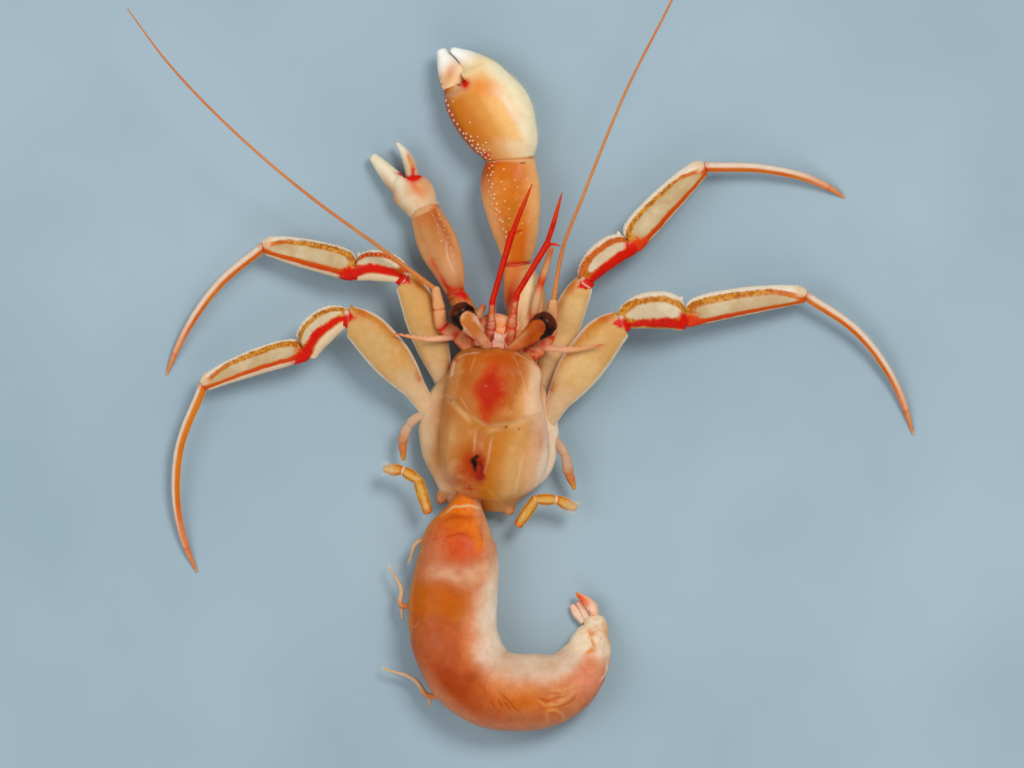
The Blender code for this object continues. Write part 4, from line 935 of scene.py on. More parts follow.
# Rows of grains: angle and place at the first and last grain, count, radius and height
CARPUS_GRAINS = {
    RIGHT: ((66, 48, 0.28, 0.965, 16, 0.12, 0.09), (54, 36, 0.5, 0.955, 9, 0.10, 0.06),
            (82, 74, 0.45, 0.885, 6, 0.09, 0.04), (100, 96, 0.3, 0.885, 8, 0.07, 0.03),
            (120, 125, 0.4, 0.935, 6, 0.07, 0.03), (140, 145, 0.35, 0.885, 6, 0.07, 0.03)),
    LEFT: ((62, 46, 0.5, 0.935, 7, 0.08, 0.05), (80, 66, 0.62, 0.935, 4, 0.07, 0.03)),
}
PALM_GRAINS = ((27, 22, 0.03, 0.9, 17, 0.14, 0.12), (40, 34, 0.05, 0.5, 9, 0.12, 0.09),
               (50, 47, 0.08, 0.4, 4, 0.08, 0.04), (-24, -20, 0.05, 0.85, 14, 0.13, 0.1),
               (58, 44, 0.3, 0.85, 3, 0.08, 0.04), (150, 165, 0.3, 0.9, 6, 0.07, 0.02))
# Painted shade: a dark line down the gap between the fingers, laid on both the palm and the finger.
GAPE_SHADE_LINE = ([(446, 50), (452, 55), (460, 65)], 0.08)
WRIST_SPOT = (497, 160, 0.5, 0.4)
FINGER_LINE = ([(413, 178), (412, 166)], 0.17)
CLAW_LAYERS = {
    "right merus": [((255, 232, 180), 1.0, (531, 288, 0.9, 3.0, -12)),
                    ((216, 104, 22), 0.7, (514, 282, 0.55, 1.6), (536, 300, 0.15, 1.6, -20)),
                    (RED, 0.9, (510, 298, 0.4, 1.2), (514, 264, 0.6, 0.3))],
    "left merus": [(RED, 1.1, ([(447, 288), (456, 292), (464, 296)], 0.42, False))],
    "right carpus": [(BLACK, 0.8, ([(519, 163), (525, 163)], 0.07))],
    "left carpus": [((200, 102, 18), 0.8, (447, 228, 0.8, 2.0, 20), (436, 213, 1.5, 0.8)),
                    (BROWN, 0.6, (438, 216, 0.9, 0.9), (446, 236, 0.3, 2.2, 20)),
                    ((196, 110, 46), 0.6, (421, 220, 0.9, 1.0)),
                    ((224, 166, 120), 0.8, (454, 265, 1.2, 1.8)),
                    ((236, 200, 160), 0.5, ([(446, 240), (448, 256), (454, 276)], 0.07)),
                    (RED, 1.1, ([(431, 262), (438, 275), (445, 286), (452, 290)], 0.26, False))],
    # Painted highlight: a broad white streak of light along the palm's ridge.
    "palm ridge highlight": [(WHITE, 0.45, ([(484, 84), (505, 98), (520, 122), (529, 146)], 0.35))],
    "palm": [((238, 214, 176), 0.8, (518, 150, 1.6, 0.8, -4)),
             ((222, 160, 92), 0.7, (494, 152, 1.4, 0.6, -4)),
             ((240, 136, 42), 0.8, (480, 86, 1.5, 0.8, -20))],
    # Hinge colours, and last the painted shade in the gap between the fingers.
    "palm hinge and gape shade": [((206, 146, 108), 0.9, ([(443, 98), (454, 94), (463, 88)], 0.25)),
                   (RED, 1.3, (465, 84, 0.40, 0.44)), (DEEP_RED, 1.0, (459, 85, 0.16, 0.12)),
                   (RED, 0.9, (487, 155, 0.4, 0.25)), ((70, 60, 50), 0.85, GAPE_SHADE_LINE)],
    "left palm": [((206, 150, 104), 0.6, (428, 210, 1.6, 0.5, 0, 0.5), (388, 186, 0.4, 1.2, 35)),
                  ((228, 150, 80), 0.6, (424, 190, 0.6, 1.0), (393, 196, 0.4, 1.0, 30)),
                  ((226, 104, 20), 0.8, (415, 186, 0.8, 0.4, -45)),
                  (RED, 1.3, ([(395, 173), (405, 174), (413, 177), (424, 176)], 0.17),
                   (412, 178, 0.65, 0.32))],
    "right finger": [((214, 134, 76), 0.8, (450, 74, 0.5, 1.0, -12))],
    # Painted shade in the gap between the fingers first, then the hinge colours.
    "finger hinge and gape shade": [((70, 60, 50), 0.6, GAPE_SHADE_LINE), (RED, 1.0, (465, 84, 0.36, 0.44)),
                     (DEEP_RED, 1.0, (459, 86, 0.26, 0.2))],
    "left finger": [((222, 140, 66), 1.1, ([(413, 174), (411, 163), (407, 152)], 0.2))],
}


def on_form(rows, hand, power, u, degrees, grow=0.0):
    """A point on a form, at u along it and an angle round it: 0 is its front, and 90 its top."""
    rows = smooth_rows(rows, 201)
    _, across, up = directions(rows, hand)
    i = int(round(u * 200))
    angle = math.radians(degrees)
    c, s = (bend_to(np.array(v), power) for v in (math.cos(angle), math.sin(angle)))
    row = rows[i]
    return (row[:3] + across[i] * (row[3 if c > 0 else 4] + grow) * c
            + up[i] * (row[5 if s > 0 else 6] + grow) * s)


def bead_rows(skin, rows, side, power, lines, wobble=0.0):
    """Raises rows of grains along a form, and gives the share of each point that is grain."""
    beads = np.zeros(len(skin.points))
    for first, last, start, end, count, radius, high in lines:
        grains = [on_form(rows, side, power, s + wobble * math.sin(9 * k),
                          first + (last - first) * k / (count - 1) + 4 * (k % 2))
                  for k, s in enumerate(np.linspace(start, end, count))]
        beads = np.maximum(beads, skin.bead(grains, radius, high))
    return beads


def joint_way(before, at, after):
    """The direction through a joint, midway between those of its two segments."""
    before, at, after = (np.array(place[:3]) for place in (before, at, after))
    return unit(unit(at - before) + unit(after - at))


def make_claw_merus(side, claw, elbow, bend):
    name = SIDES[side]
    skin = loft(claw["merus"], 120, 100, side, domes=(0.3, 0.6))
    skin.push(0.03 * noise(skin.points, 0.9, 52) - 0.05 * near(skin.u, 0.93, 0.02))
    skin.press(elbow - bend * 0.06, bend, 0.25)
    base, far = ((244, 196, 134), (234, 152, 72)) if side == RIGHT else ((210, 152, 108), (208, 128, 60))
    tint = paint(base, (far, ramp(skin.u, 0.4, 0.85)), *layers(skin.points, CLAW_LAYERS[f"{name} merus"]))
    piece(f"cheliped_{name}_merus_shell", skin, tint, "claw", "shell_cream", f"cheliped_{name}_merus")


def make_claw_carpus(side, claw, elbow, bend, wrist, turn):
    name = SIDES[side]
    skin = loft(claw["carpus"], 210, 160, side, 2.3, (0.6, 0.5))
    skin.push(0.03 * noise(skin.points, 0.8, 53))
    beads = bead_rows(skin, claw["carpus"], side, 2.3, CARPUS_GRAINS[side], 0.012)
    skin.press(elbow + bend * 0.06, -bend, 0.2)
    skin.press(wrist - turn * 0.02, turn, 0.16)
    p, u = skin.points, skin.u
    f = skin.f + 0.12 * noise(p, 1.3, 54)
    if side == RIGHT:
        tint = paint(
            (212, 108, 10),
            ((214, 124, 28), cloud(p, 1.8, 59, -0.3, 0.4)),
            ((186, 76, 4), ramp(f, 0.45, 0.75) * ramp(u, 0.45, 0.85) * 0.9),
            ((240, 178, 118), ramp(f, 0.3, 0.95) * ramp(u, 0.9, 0.6) * 0.9),
            ((232, 158, 84), cloud(p, 0.8, 44, 0.1, 0.6) * 0.25),
            ((255, 196, 126), ramp(f, -0.25, -1.0) * 0.85),
            (RED, ramp(u, 0.06, 0.01) * 0.8 + blot(p, *WRIST_SPOT) * 0.6),
            ((232, 186, 130), near(u, 0.99, 0.02) * 0.6),
            *layers(p, CLAW_LAYERS["right carpus"]),
        )
    else:
        tint = paint(
            (190, 124, 60),
            ((198, 138, 84), cloud(p, 1.4, 55, -0.3, 0.5)),
            *layers(p, CLAW_LAYERS["left carpus"]),
            (CORAL, ramp(u, 0.12, 0.0) * 0.9),
            # Paler edges: partly the shell's pale rim, partly painted light against the shade on the sloping
            # edges.
            ((242, 178, 118), ramp(np.abs(f), 0.55, 0.95) * 0.7),
        )
    tint = paint(tint, (CREAM, ramp(beads, 0.5, 0.95) * 0.9))
    piece(f"cheliped_{name}_carpus_shell", skin, tint, "claw", "shell_amber", f"cheliped_{name}_carpus")


def paint_right_palm(skin, beads):
    p, f = skin.points, skin.f + 0.12 * noise(skin.points, 1.5, 50)
    along = p @ unit(np.array((-0.75, 0.66, 0.0)))
    to_tip = ramp(along + 0.3 * noise(p, 1.0, 48), 20.2, 21.8) * ramp(p[:, 0], -7.6, -6.6)
    return paint(
        (255, 240, 200),
        ((248, 194, 122), ramp(f, -0.8, -0.3)),
        ((222, 152, 66), ramp(f, -0.25, 0.15)),
        ((210, 120, 24), ramp(f, 0.1, 0.6)),
        # Painted highlight along the palm's ridge.
        *layers(p, CLAW_LAYERS["palm ridge highlight"]),
        ((176, 76, 4), ramp(skin.f, 0.74, 0.96) * 0.85),
        *layers(p, CLAW_LAYERS["palm"]),
        ((246, 222, 170), to_tip * 0.8),
        ((255, 252, 244), ramp(along, 21.6, 23.4)),
        *layers(p, CLAW_LAYERS["palm hinge and gape shade"]),
        (ORANGE, ramp(beads, 0.02, 0.3) * 0.25),
        (WHITE, ramp(beads, 0.6, 0.95)),
    )


def paint_left_palm(skin):
    p = skin.points
    along = p @ unit(np.array((-0.8, 0.6, 0.0)))
    return paint((222, 184, 142), ((232, 206, 172), cloud(p, 1.4, 51, -0.4, 0.4)),
                 ((238, 228, 198), ramp(along, 16.6, 18.4) * 0.95), *layers(p, CLAW_LAYERS["left palm"]))


def make_palm_setae(claw, side):
    """Short hairs along the outer edge of the palm."""
    count = 80
    roots = [on_form(claw["hand"], side, 2.2, 0.12 + 0.86 * k / (count - 1), 180 + 14 * math.sin(2.4 * k),
                     -0.03) for k in range(count)]
    middle = np.array(claw["hand"][2][:3])
    leans = [np.array((math.sin(5.1 * k), math.sin(3.7 * k), 0.5 * math.sin(2.9 * k))) for k in range(count)]
    ways = [unit(root - middle) + 0.4 * lean for root, lean in zip(roots, leans)]
    lengths = [0.2 + 0.06 * (k % 4) for k in range(count)]
    hairs("palm_right_setae", roots, ways, lengths, 0.01, (236, 218, 186), "shell_cream")


def make_palm(side, claw, wrist, turn):
    name = SIDES[side]
    hand = loft(claw["hand"], 90, 90, side, 2.2, (0.5, 0.8), dome_rings=12)
    fixed = loft(claw["fixed"], 60, 60, side, domes=(0.4, 0.3))
    voxel, smooth, slot = (0.07, 7, "shell_amber") if side == RIGHT else (0.05, 14, "shell_cream")
    skin = remeshed([hand, fixed], voxel, smooth, [(claw["gape"], -1.0, 9.0)])
    locate(skin, claw["hand"], side)
    skin.push(0.02 * noise(skin.points, 0.7, 56))
    if side == RIGHT:
        beads = bead_rows(skin, claw["hand"], side, 2.2, PALM_GRAINS)
        skin.bead([on_form(claw["fixed"], side, 2.0, s, 15) for s in (0.5, 0.62, 0.74, 0.86)], 0.2, 0.06)
        skin.bead([on_form(claw["hand"], side, 2.2, s, 0) for s in np.linspace(0.04, 0.9, 21)], 0.11, 0.05)
        make_palm_setae(claw, side)
    skin.press(wrist + turn * 0.02, -turn, 0.16)
    tint = paint_right_palm(skin, beads) if side == RIGHT else paint_left_palm(skin)
    skin.settle()
    piece(f"cheliped_{name}_palm_shell", skin, tint, "claw", slot, f"cheliped_{name}_palm")


def make_finger(side, claw):
    name = SIDES[side]
    hinge, way = np.array(claw["hinge"][0]), unit(np.array(claw["hinge"][1]))
    skin = loft(claw["dactyl"], 110, 72, side, domes=(0.5, 0.3))
    skin.bead([on_form(claw["dactyl"], side, 2.0, s, 180) for s in (0.4, 0.55, 0.7, 0.85)], 0.18, 0.03)
    skin.press(hinge - way * 0.05, -way, 0.12)
    p, u = skin.points, skin.u
    if side == RIGHT:
        places = [on_form(claw["dactyl"], side, 2.0, s, 30) for s in (0.08, 0.16, 0.24, 0.36)]
        studs = skin.bead(places, 0.14, 0.06)
        tint = paint(
            (252, 214, 160),
            ((255, 252, 244), ramp(u + 0.1 * noise(p, 0.7, 49), 0.3, 0.8)),
            *layers(p, CLAW_LAYERS["right finger"]),
            ((242, 200, 172), ramp(u, 0.22, 0.05) * 0.6),
            ((206, 122, 50), ramp(skin.f, 0.7, 0.95) * ramp(u, 0.6, 0.3) * 0.8),
            *layers(p, CLAW_LAYERS["finger hinge and gape shade"]),
            (WHITE, ramp(studs, 0.4, 0.9) * 0.8),
        )
    else:
        tint = paint((214, 198, 164), ((234, 226, 202), ramp(u, 0.3, 0.8)),
                     *layers(p, CLAW_LAYERS["left finger"]),
                     (RED, ramp(u, 0.18, 0.08) + stroke(p, *FINGER_LINE)))
    piece(f"cheliped_{name}_dactyl_shell", skin, tint, "claw", "shell_cream", f"cheliped_{name}_dactyl")


def make_cheliped(side):
    claw = CLAWS[side]
    carpus = claw["carpus"]
    elbow, wrist = np.array(carpus[0][:3]), np.array(carpus[-1][:3])
    bend = joint_way(claw["merus"][-2], elbow, carpus[1])
    turn = joint_way(carpus[-2], wrist, claw["hand"][1])
    make_claw_merus(side, claw, elbow, bend)
    make_claw_carpus(side, claw, elbow, bend, wrist, turn)
    make_palm(side, claw, wrist, turn)
    make_finger(side, claw)
    for label, at, way, (wide, tall), red in (("elbow", elbow, bend, carpus[0][3:], 0.75),
                                              ("wrist", wrist, turn, carpus[-1][3:], 0.0)):
        rows = stops(at, at + way, (-0.5, wide * 0.95, tall * 0.92), (0, wide * 0.97, tall * 0.95),
                     (0.5, wide * 0.95, tall * 0.92))
        fold = loft(rows, 20, 60, side, 2.2, (0.1, 0.1))
        fold.push(0.02 * np.cos(fold.u * TAU * 4) + 0.02 * noise(fold.points, 0.4, 57))
        tint = paint((214, 160, 110), ((210, 120, 60), cloud(fold.points, 0.9, 58, -0.2, 0.4)),
                     (RED, red * np.ones(len(fold.points))))
        piece(f"cheliped_{SIDES[side]}_{label}_fold", fold, tint, "membrane", "soft_skin")


# Walking legs

LEGS = {
    ("leg2", RIGHT): {
        "joints": [(3.6, -0.6, 1.5), (5.9, 10.13, 3.5), (9.26, 13.95, 3.2), (14.54, 21.12, 2.1),
                   (26.46, 20.47, 0.02)],
        "widths": (1.35, 1.25, 1.30, 0.42), "bows": (0.0, 0.42, 0.25), "dactyl_elbow": (22.31, 22.69),
    },
    ("leg3", RIGHT): {
        "joints": [(4.6, -2.3, 2.7), (9.45, 7.49, 4.2), (14.81, 8.76, 3.6), (24.54, 11.82, 2.1),
                   (35.22, 1.87, 0.02)],
        "widths": (1.85, 1.55, 1.22, 0.42), "bows": (0.30, 0.50, 0.30), "dactyl_elbow": (31.99, 9.54),
    },
    ("leg2", LEFT): {
        "joints": [(-3.3, -1.8, 1.5), (-8.56, 8.26, 3.5), (-12.96, 8.32, 3.2), (-20.79, 8.77, 2.1),
                   (-27.12, -2.95, 0.02)],
        "widths": (1.50, 1.28, 1.30, 0.42), "bows": (0.15, 0.42, 0.20), "dactyl_elbow": (-25.75, 4.36),
    },
    ("leg3", LEFT): {
        "joints": [(-4.8, -2.7, 2.7), (-12.84, 4.38, 4.2), (-16.09, 0.91, 3.6), (-23.92, -3.45, 2.1),
                   (-22.07, -18.85, 0.02)],
        "widths": (1.72, 1.42, 1.12, 0.42), "bows": (0.35, 0.50, 0.35), "dactyl_elbow": (-26.98, -11.87),
    },
}
LEG_OUTLINES = {
    "merus": [(0.0, 0.45, 0.45), (0.22, 0.56, 0.56), (0.36, 0.80, 0.80), (0.52, 0.98, 0.98),
              (0.66, 1.0, 1.0), (0.86, 0.88, 0.88), (0.96, 0.62, 0.80), (1.0, 0.45, 0.70)],
    "carpus": [(0.0, 0.34, 0.52), (0.1, 0.62, 0.70), (0.3, 0.92, 0.88), (0.55, 1.02, 1.0), (0.8, 0.93, 0.98),
               (0.93, 0.66, 0.95), (1.0, 0.30, 0.92)],
    "propodus": [(0.0, 0.42, 0.94), (0.05, 0.80, 0.98), (0.15, 0.98, 1.0), (0.35, 1.0, 0.99),
                 (0.65, 0.92, 0.86), (0.88, 0.78, 0.62), (0.97, 0.66, 0.5), (1.0, 0.5, 0.42)],
    "dactyl": [(0.0, 1.0, 1.0), (0.35, 0.92, 0.92), (0.7, 0.78, 0.78), (0.9, 0.56, 0.56), (1.0, 0.24, 0.24)],
}
KNEE_PLAY = 0.62
# Where the bands of colour lie across each leg: the red stripe's two edges and the window's top on the
# carpus, then the line, and the window's foot and top, on the propodus. 1 is the leg's front edge.
LEG_BANDS = {("leg2", RIGHT): ((-1.0, -0.38, 0.34), (-0.80, -0.62, 0.46)),
             ("leg3", RIGHT): ((-0.9, -0.46, 0.42), (-0.80, -0.64, 0.26)),
             ("leg2", LEFT): ((-0.44, 0.06, 0.56), (-0.66, -0.42, 0.50)),
             ("leg3", LEFT): ((-0.38, 0.08, 0.58), (-0.58, -0.37, 0.46))}
LEG_WHITE = (240, 228, 206)


def leg_rows(kind, start, end, width, bow, side, elbow=None):
    """A segment's rows, along a line bowed forwards or a curve past an elbow."""
    front = unit(np.cross((0, 0, 1), unit(end - start))) * side
    rows = []
    for t, fore, aft in LEG_OUTLINES[kind]:
        if elbow is None:
            centre = start + (end - start) * t + front * bow * 4 * t * (1 - t)
        else:
            middle = np.array((*elbow, (start[2] + end[2]) / 2 + 0.45))
            centre = (start + (middle - start) * t) * (1 - t) + (middle + (end - middle) * t) * t
        thick = width * KNEE_PLAY * (fore + aft) / 2 * (1.25 if kind == "dactyl" else 1.0)
        rows.append((*centre, width * fore, width * aft, thick, thick))
    return rows


def leg_band(speck, slow):
    return paint((176, 98, 10), ((212, 146, 48), ramp(speck + 0.4 * slow, -0.35, 0.25)))


def leg_glass(slow):
    return paint((196, 166, 120), ((212, 192, 154), ramp(slow, -0.4, 0.4)))


def paint_merus(p, u, f, speck, slow, pair, side):
    knee = ramp(u + 0.05 * f + 0.02 * speck, 0.93, 0.965) * ramp(f + 0.2 * speck, 0.3, 0.0)
    return paint(
        (214, 164, 96),
        ((222, 182, 122), ramp(slow, -0.4, 0.4)),
        ((190, 146, 86), ramp(slow, -0.8, 0.8) * 0.6 * (side == LEFT)),
        ((206, 128, 28), ramp(f, 0.2, 0.85) * ramp(u, 0.3, 0.75) * (0.85 if pair == "leg3" else 0.5)),
        ((204, 104, 16), near(u, 0.94, 0.06) * ramp(f, 0.0, 0.6) * 0.8),
        # Painted light: the right second leg's merus is lightened towards the body, against the shade that
        # falls on it there.
        ((240, 198, 142), ramp(u, 0.8, 0.4) * 0.6 * ((pair, side) == ("leg2", RIGHT))),
        ((218, 186, 150), ramp(u, 0.5, 0.2) * 0.7),
        ((196, 124, 44), near(u, 0.30, 0.05) * near(f, 0.75, 0.3) * 0.7),
        ((226, 196, 148), cloud(p, 0.8, 66, 0.2, 0.7) * 0.3),
        (LEG_WHITE, ramp(np.abs(f), 0.84, 0.97) * 0.85),
        (RED, knee * 1.1),
        (RED, near(u, 0.27, 0.01) * near(f, 0.8, 0.2) * 0.6),
    )


def paint_carpus(p, u, f, speck, slow, pair, side):
    low, high, top = LEG_BANDS[pair, side][0]
    start = 0.56 if pair == "leg2" else 0.52
    middle, tall = (high + top) / 2, (top - high) / 2
    window = 1 - ((f - middle) / tall) ** 2 - ((u - start) / (0.95 - start)) ** 4 + 0.25 * speck
    edge = 0.12 if side == LEFT else 0.16 * ramp(u, 0.5, 0.15)
    rim = ramp(f + 0.06 * speck, 0.66 + edge, 0.8 + edge)
    redness = {("leg2", LEFT): 1.0, ("leg2", RIGHT): 0.7}.get((pair, side), 0.0)
    rough = 0.16 * noise(p, 0.5, 65) + 0.06 * speck
    f = f + 0.2 * ramp(u, 0.7, 1.0) * (side == LEFT)
    rise = 0.2 * (0.6 - u)
    foot = ramp(f, low - 0.06, low + 0.06)
    stripe = (ramp(f + 0.5 * rough, low - 0.06, low + 0.06)
              * ramp(f + rough, high + 0.09 - rise, high - 0.05 - rise))
    return paint(
        leg_band(speck, slow),
        ((206, 60, 4), ramp(speck, -0.7, 0.3) * redness),
        ((204, 146, 84), ramp(window, -0.3, 0.0) * 0.6),
        (paint(leg_glass(slow), (LEG_WHITE, 0.3 * np.ones(len(p)))), ramp(window, -0.05, 0.3)),
        (LEG_WHITE, rim * 0.95),
        (RED, stripe),
        ((176, 6, 0), stripe * cloud(p, 0.35, 67, 0.1, 0.6) * 0.6),
        ((236, 96, 30), stripe * ramp(speck, 0.45, 0.7) * 0.5),
        (RED, ramp(u + 0.03 * speck, 0.86, 0.97) * ramp(f, 0.2, -0.1) * foot),
        ((236, 212, 174), ramp(f, low, low - 0.16) * 0.95),
    )


def paint_propodus(p, u, f, speck, slow, pair, side):
    line, bottom, roof = LEG_BANDS[pair, side][1]
    edge = 0.12 if side == LEFT else 0.0
    fall = ramp(u, 0.7, 1.0) * (0.6 if side == RIGHT else 0.4)
    roof = roof - fall * (roof - bottom)
    middle, tall = (roof + bottom) / 2, (roof - bottom) / 2
    window = (1 - ((f - middle) / tall) ** 4 - (np.maximum(0.18 - u, 0.0) / 0.12) ** 2
              - (np.maximum(u - 0.76, 0.0) / 0.17) ** 2 + 0.25 * speck)
    rim = ramp(f + 0.06 * speck + 0.8 * fall, 0.62 + edge + 0.1 * (1 - ramp(u, 0.3, 0.7)), 0.78 + edge)
    height = 0.5 if (pair, side) == ("leg3", LEFT) else 0.1
    corner = ramp(u + 0.05 * speck + 0.1 * f, 0.1, -0.02) * ramp(f + 0.2 * speck, height, height - 0.4)
    return paint(
        leg_band(speck, slow),
        ((208, 96, 16), ramp(u, 0.6, 0.85) * 0.7),
        ((206, 84, 6), ramp(f, -0.1, -0.4) * 0.9),
        (RED, ramp(f, bottom + 0.1, line) * ramp(u, 0.95, 0.2) * ramp(speck, -0.8, 0.2) * 0.6),
        ((202, 148, 82), ramp(window, -0.35, 0.0) * 0.5),
        (leg_glass(slow), ramp(window, -0.05, 0.35)),
        (LEG_WHITE, rim * 0.95),
        ((232, 200, 162), ramp(u, 0.88, 0.95) * ramp(f, -0.3, 0.1) * 0.8),
        ((212, 110, 36), ramp(speck, 0.2, 0.6) * ramp(u, 0.86, 0.92) * 0.6),
        ((236, 214, 178), ramp(f, line - 0.08, line - 0.16) * 0.9),
        (RED if side == LEFT else (222, 60, 6), corner * 1.1),
        ((214, 70, 14), ramp(u, 0.95, 0.99) * ramp(f, 0.2, -0.4) * 0.9),
    )


def paint_dactyl(p, u, f, speck, slow, pair, side):
    golden = (pair, side) == ("leg3", LEFT)
    start = 0.2 if golden else -0.25
    return paint(
        (208, 96, 10),
        ((210, 116, 26), ramp(slow, -0.3, 0.4)),
        ((216, 126, 16), 0.6 * ramp(u, 0.8, 0.4) * golden),
        ((224, 188, 158), ramp(f, start, start + 0.3) * ramp(u, 1.0, 0.85)),
        ((230, 216, 196), near(f, 0.75 if golden else 0.55, 0.4) * ramp(u, 0.9, 0.5) * 0.8),
        ((238, 206, 170), ramp(f, -0.8, -0.95) * ramp(u, 0.9, 0.6) * 0.7),
        ((230, 148, 102), ramp(u, 0.6, 0.84) * 0.6),
        (AMBER, ramp(u, 0.84, 0.9) * 0.3),
        (RED, near(u, 0.87, 0.01) * 0.4 + ramp(u, 0.04, -0.02) * 0.6),
        (PALE, ramp(u, 0.97, 1.0) * 0.6),
    )


# Each segment's rings, sides and painter, and the count and reach of its rows of grains
SEGMENTS = {"merus": (120, 72, paint_merus, 0, 0.0), "carpus": (90, 72, paint_carpus, 12, 0.9),
            "propodus": (150, 72, paint_propodus, 24, 0.93), "dactyl": (220, 40, paint_dactyl, 0, 0.0)}
# The angle, radius, height and offset of each row of grains, and how pale it is
LEG_GRAINS = ((6, 0.08, 0.05, 0.0, 0.5), (46, 0.06, 0.03, 0.5, 1.0), (58, 0.05, 0.03, 0.2, 1.0))


def make_leg(pair, side):
    leg = LEGS[pair, side]
    joints = [np.array(p) for p in leg["joints"]]
    ways = [unit(b - a) for a, b in zip(joints, joints[1:])]
    ways[3] = unit(np.array((*leg["dactyl_elbow"], joints[3][2])) - joints[3])
    bends = [None, *(unit(a + b) for a, b in zip(ways, ways[1:]))]
    name = SIDES[side]
    for i, (kind, (rings, sides, painter, count, reach)) in enumerate(SEGMENTS.items()):
        last = kind == "dactyl"
        width, bow = leg["widths"][i], 0.0 if last else leg["bows"][i]
        elbow = leg["dactyl_elbow"] if last else None
        rows = leg_rows(kind, joints[i], joints[i + 1], width, bow, side, elbow)
        skin = loft(rows, rings, sides, side, 2.1, (0.3 * width, 0.1 if last else 0.4 * width), dome_rings=8)
        skin.push(0.02 * noise(skin.points, 0.7, 63))
        mask = np.zeros(len(skin.points))
        for degrees, radius, high, offset, pale in LEG_GRAINS if count else ():
            grains = [on_form(rows, side, 2.1, min(s + offset / count, reach), degrees + 5 * (k % 2))
                      for k, s in enumerate(np.linspace(0.1, reach, count))]
            mask = np.maximum(mask, skin.bead(grains, radius, high) * pale)
        if kind == "carpus":
            skin.bead([on_form(rows, side, 2.1, 0.9, 5)], 0.13, 0.3)
        if i > 0:
            skin.press(joints[i] + bends[i] * 0.02, -bends[i], 0.1)
        if not last:
            skin.press(joints[i + 1] - bends[i + 1] * 0.02, bends[i + 1], 0.1)
        skin.settle()
        f = skin.f + 0.05 * noise(skin.points, 0.7, 60)
        speck, slow = noise(skin.points, 0.2, 61), noise(skin.points, 1.6, 62)
        tint = painter(skin.points, skin.u, f, speck, slow, pair, side)
        tint = paint(tint, (CREAM, ramp(mask, 0.5, 0.95) * 0.6))
        piece(f"{pair}_{name}_{kind}_shell", skin, tint, "leg", "leg_shell", f"{pair}_{name}_{kind}")
    for i, label in ((1, "knee"), (2, "wrist"), (3, "ankle")):
        back = -unit(np.cross((0, 0, 1), bends[i])) * side
        share, shift = (0.85, 0.0) if label == "ankle" else (0.55, 0.28)
        width = leg["widths"][i] * share
        at = joints[i] + back * (shift * leg["widths"][i])
        tall = width * KNEE_PLAY * 1.2
        rows = stops(at, at + bends[i], (-0.35, width, tall), (0.35, width, tall))
        fold = loft(rows, 16, 44, side, 2.1, (0.1, 0.1))
        fold.push(0.02 * np.cos(fold.u * TAU * 3))
        tint = paint((222, 190, 160), (RED, ramp(fold.f + 0.3 * noise(fold.points, 0.4, 64), 0.7, 0.3)),
                     ((236, 210, 186), near(fold.u, 0.4, 0.1) * 0.7 * (label == "knee")))
        if label == "ankle":
            tint = paint((214, 120, 60), (PALE, ramp(fold.f, 0.0, 0.6)))
        piece(f"{pair}_{name}_{label}_fold", fold, tint, "membrane", "soft_skin")


# Small rear legs

LEG4 = {
    RIGHT: [(5.3, -2.9, 2.5, 0.55, 0.5), (6.7, -4.3, 2.7, 0.62, 0.55), (7.35, -5.9, 2.2, 0.58, 0.5),
            (7.95, -6.95, 1.7, 0.26, 0.25)],
    LEFT: [(-4.9, -2.6, 2.5, 0.55, 0.5), (-6.3, -3.7, 2.7, 0.62, 0.55), (-6.75, -5.2, 2.2, 0.58, 0.5),
           (-6.5, -6.8, 1.7, 0.26, 0.25)],
}
LEG5 = {
    RIGHT: {"merus": [(3.85, -10.75, 2.5), (4.95, -8.45, 3.1)],
            "hand": [(4.95, -8.45, 3.1), (6.6, -8.2, 2.9), (8.2, -8.6, 2.6)]},
    LEFT: {"merus": [(-3.8, -10.85, 2.5), (-5.02, -8.35, 3.1)],
           "hand": [(-5.02, -8.35, 3.1), (-6.35, -7.8, 2.9), (-7.75, -7.9, 2.6)]},
}
LEG5_WIDTH = 0.50

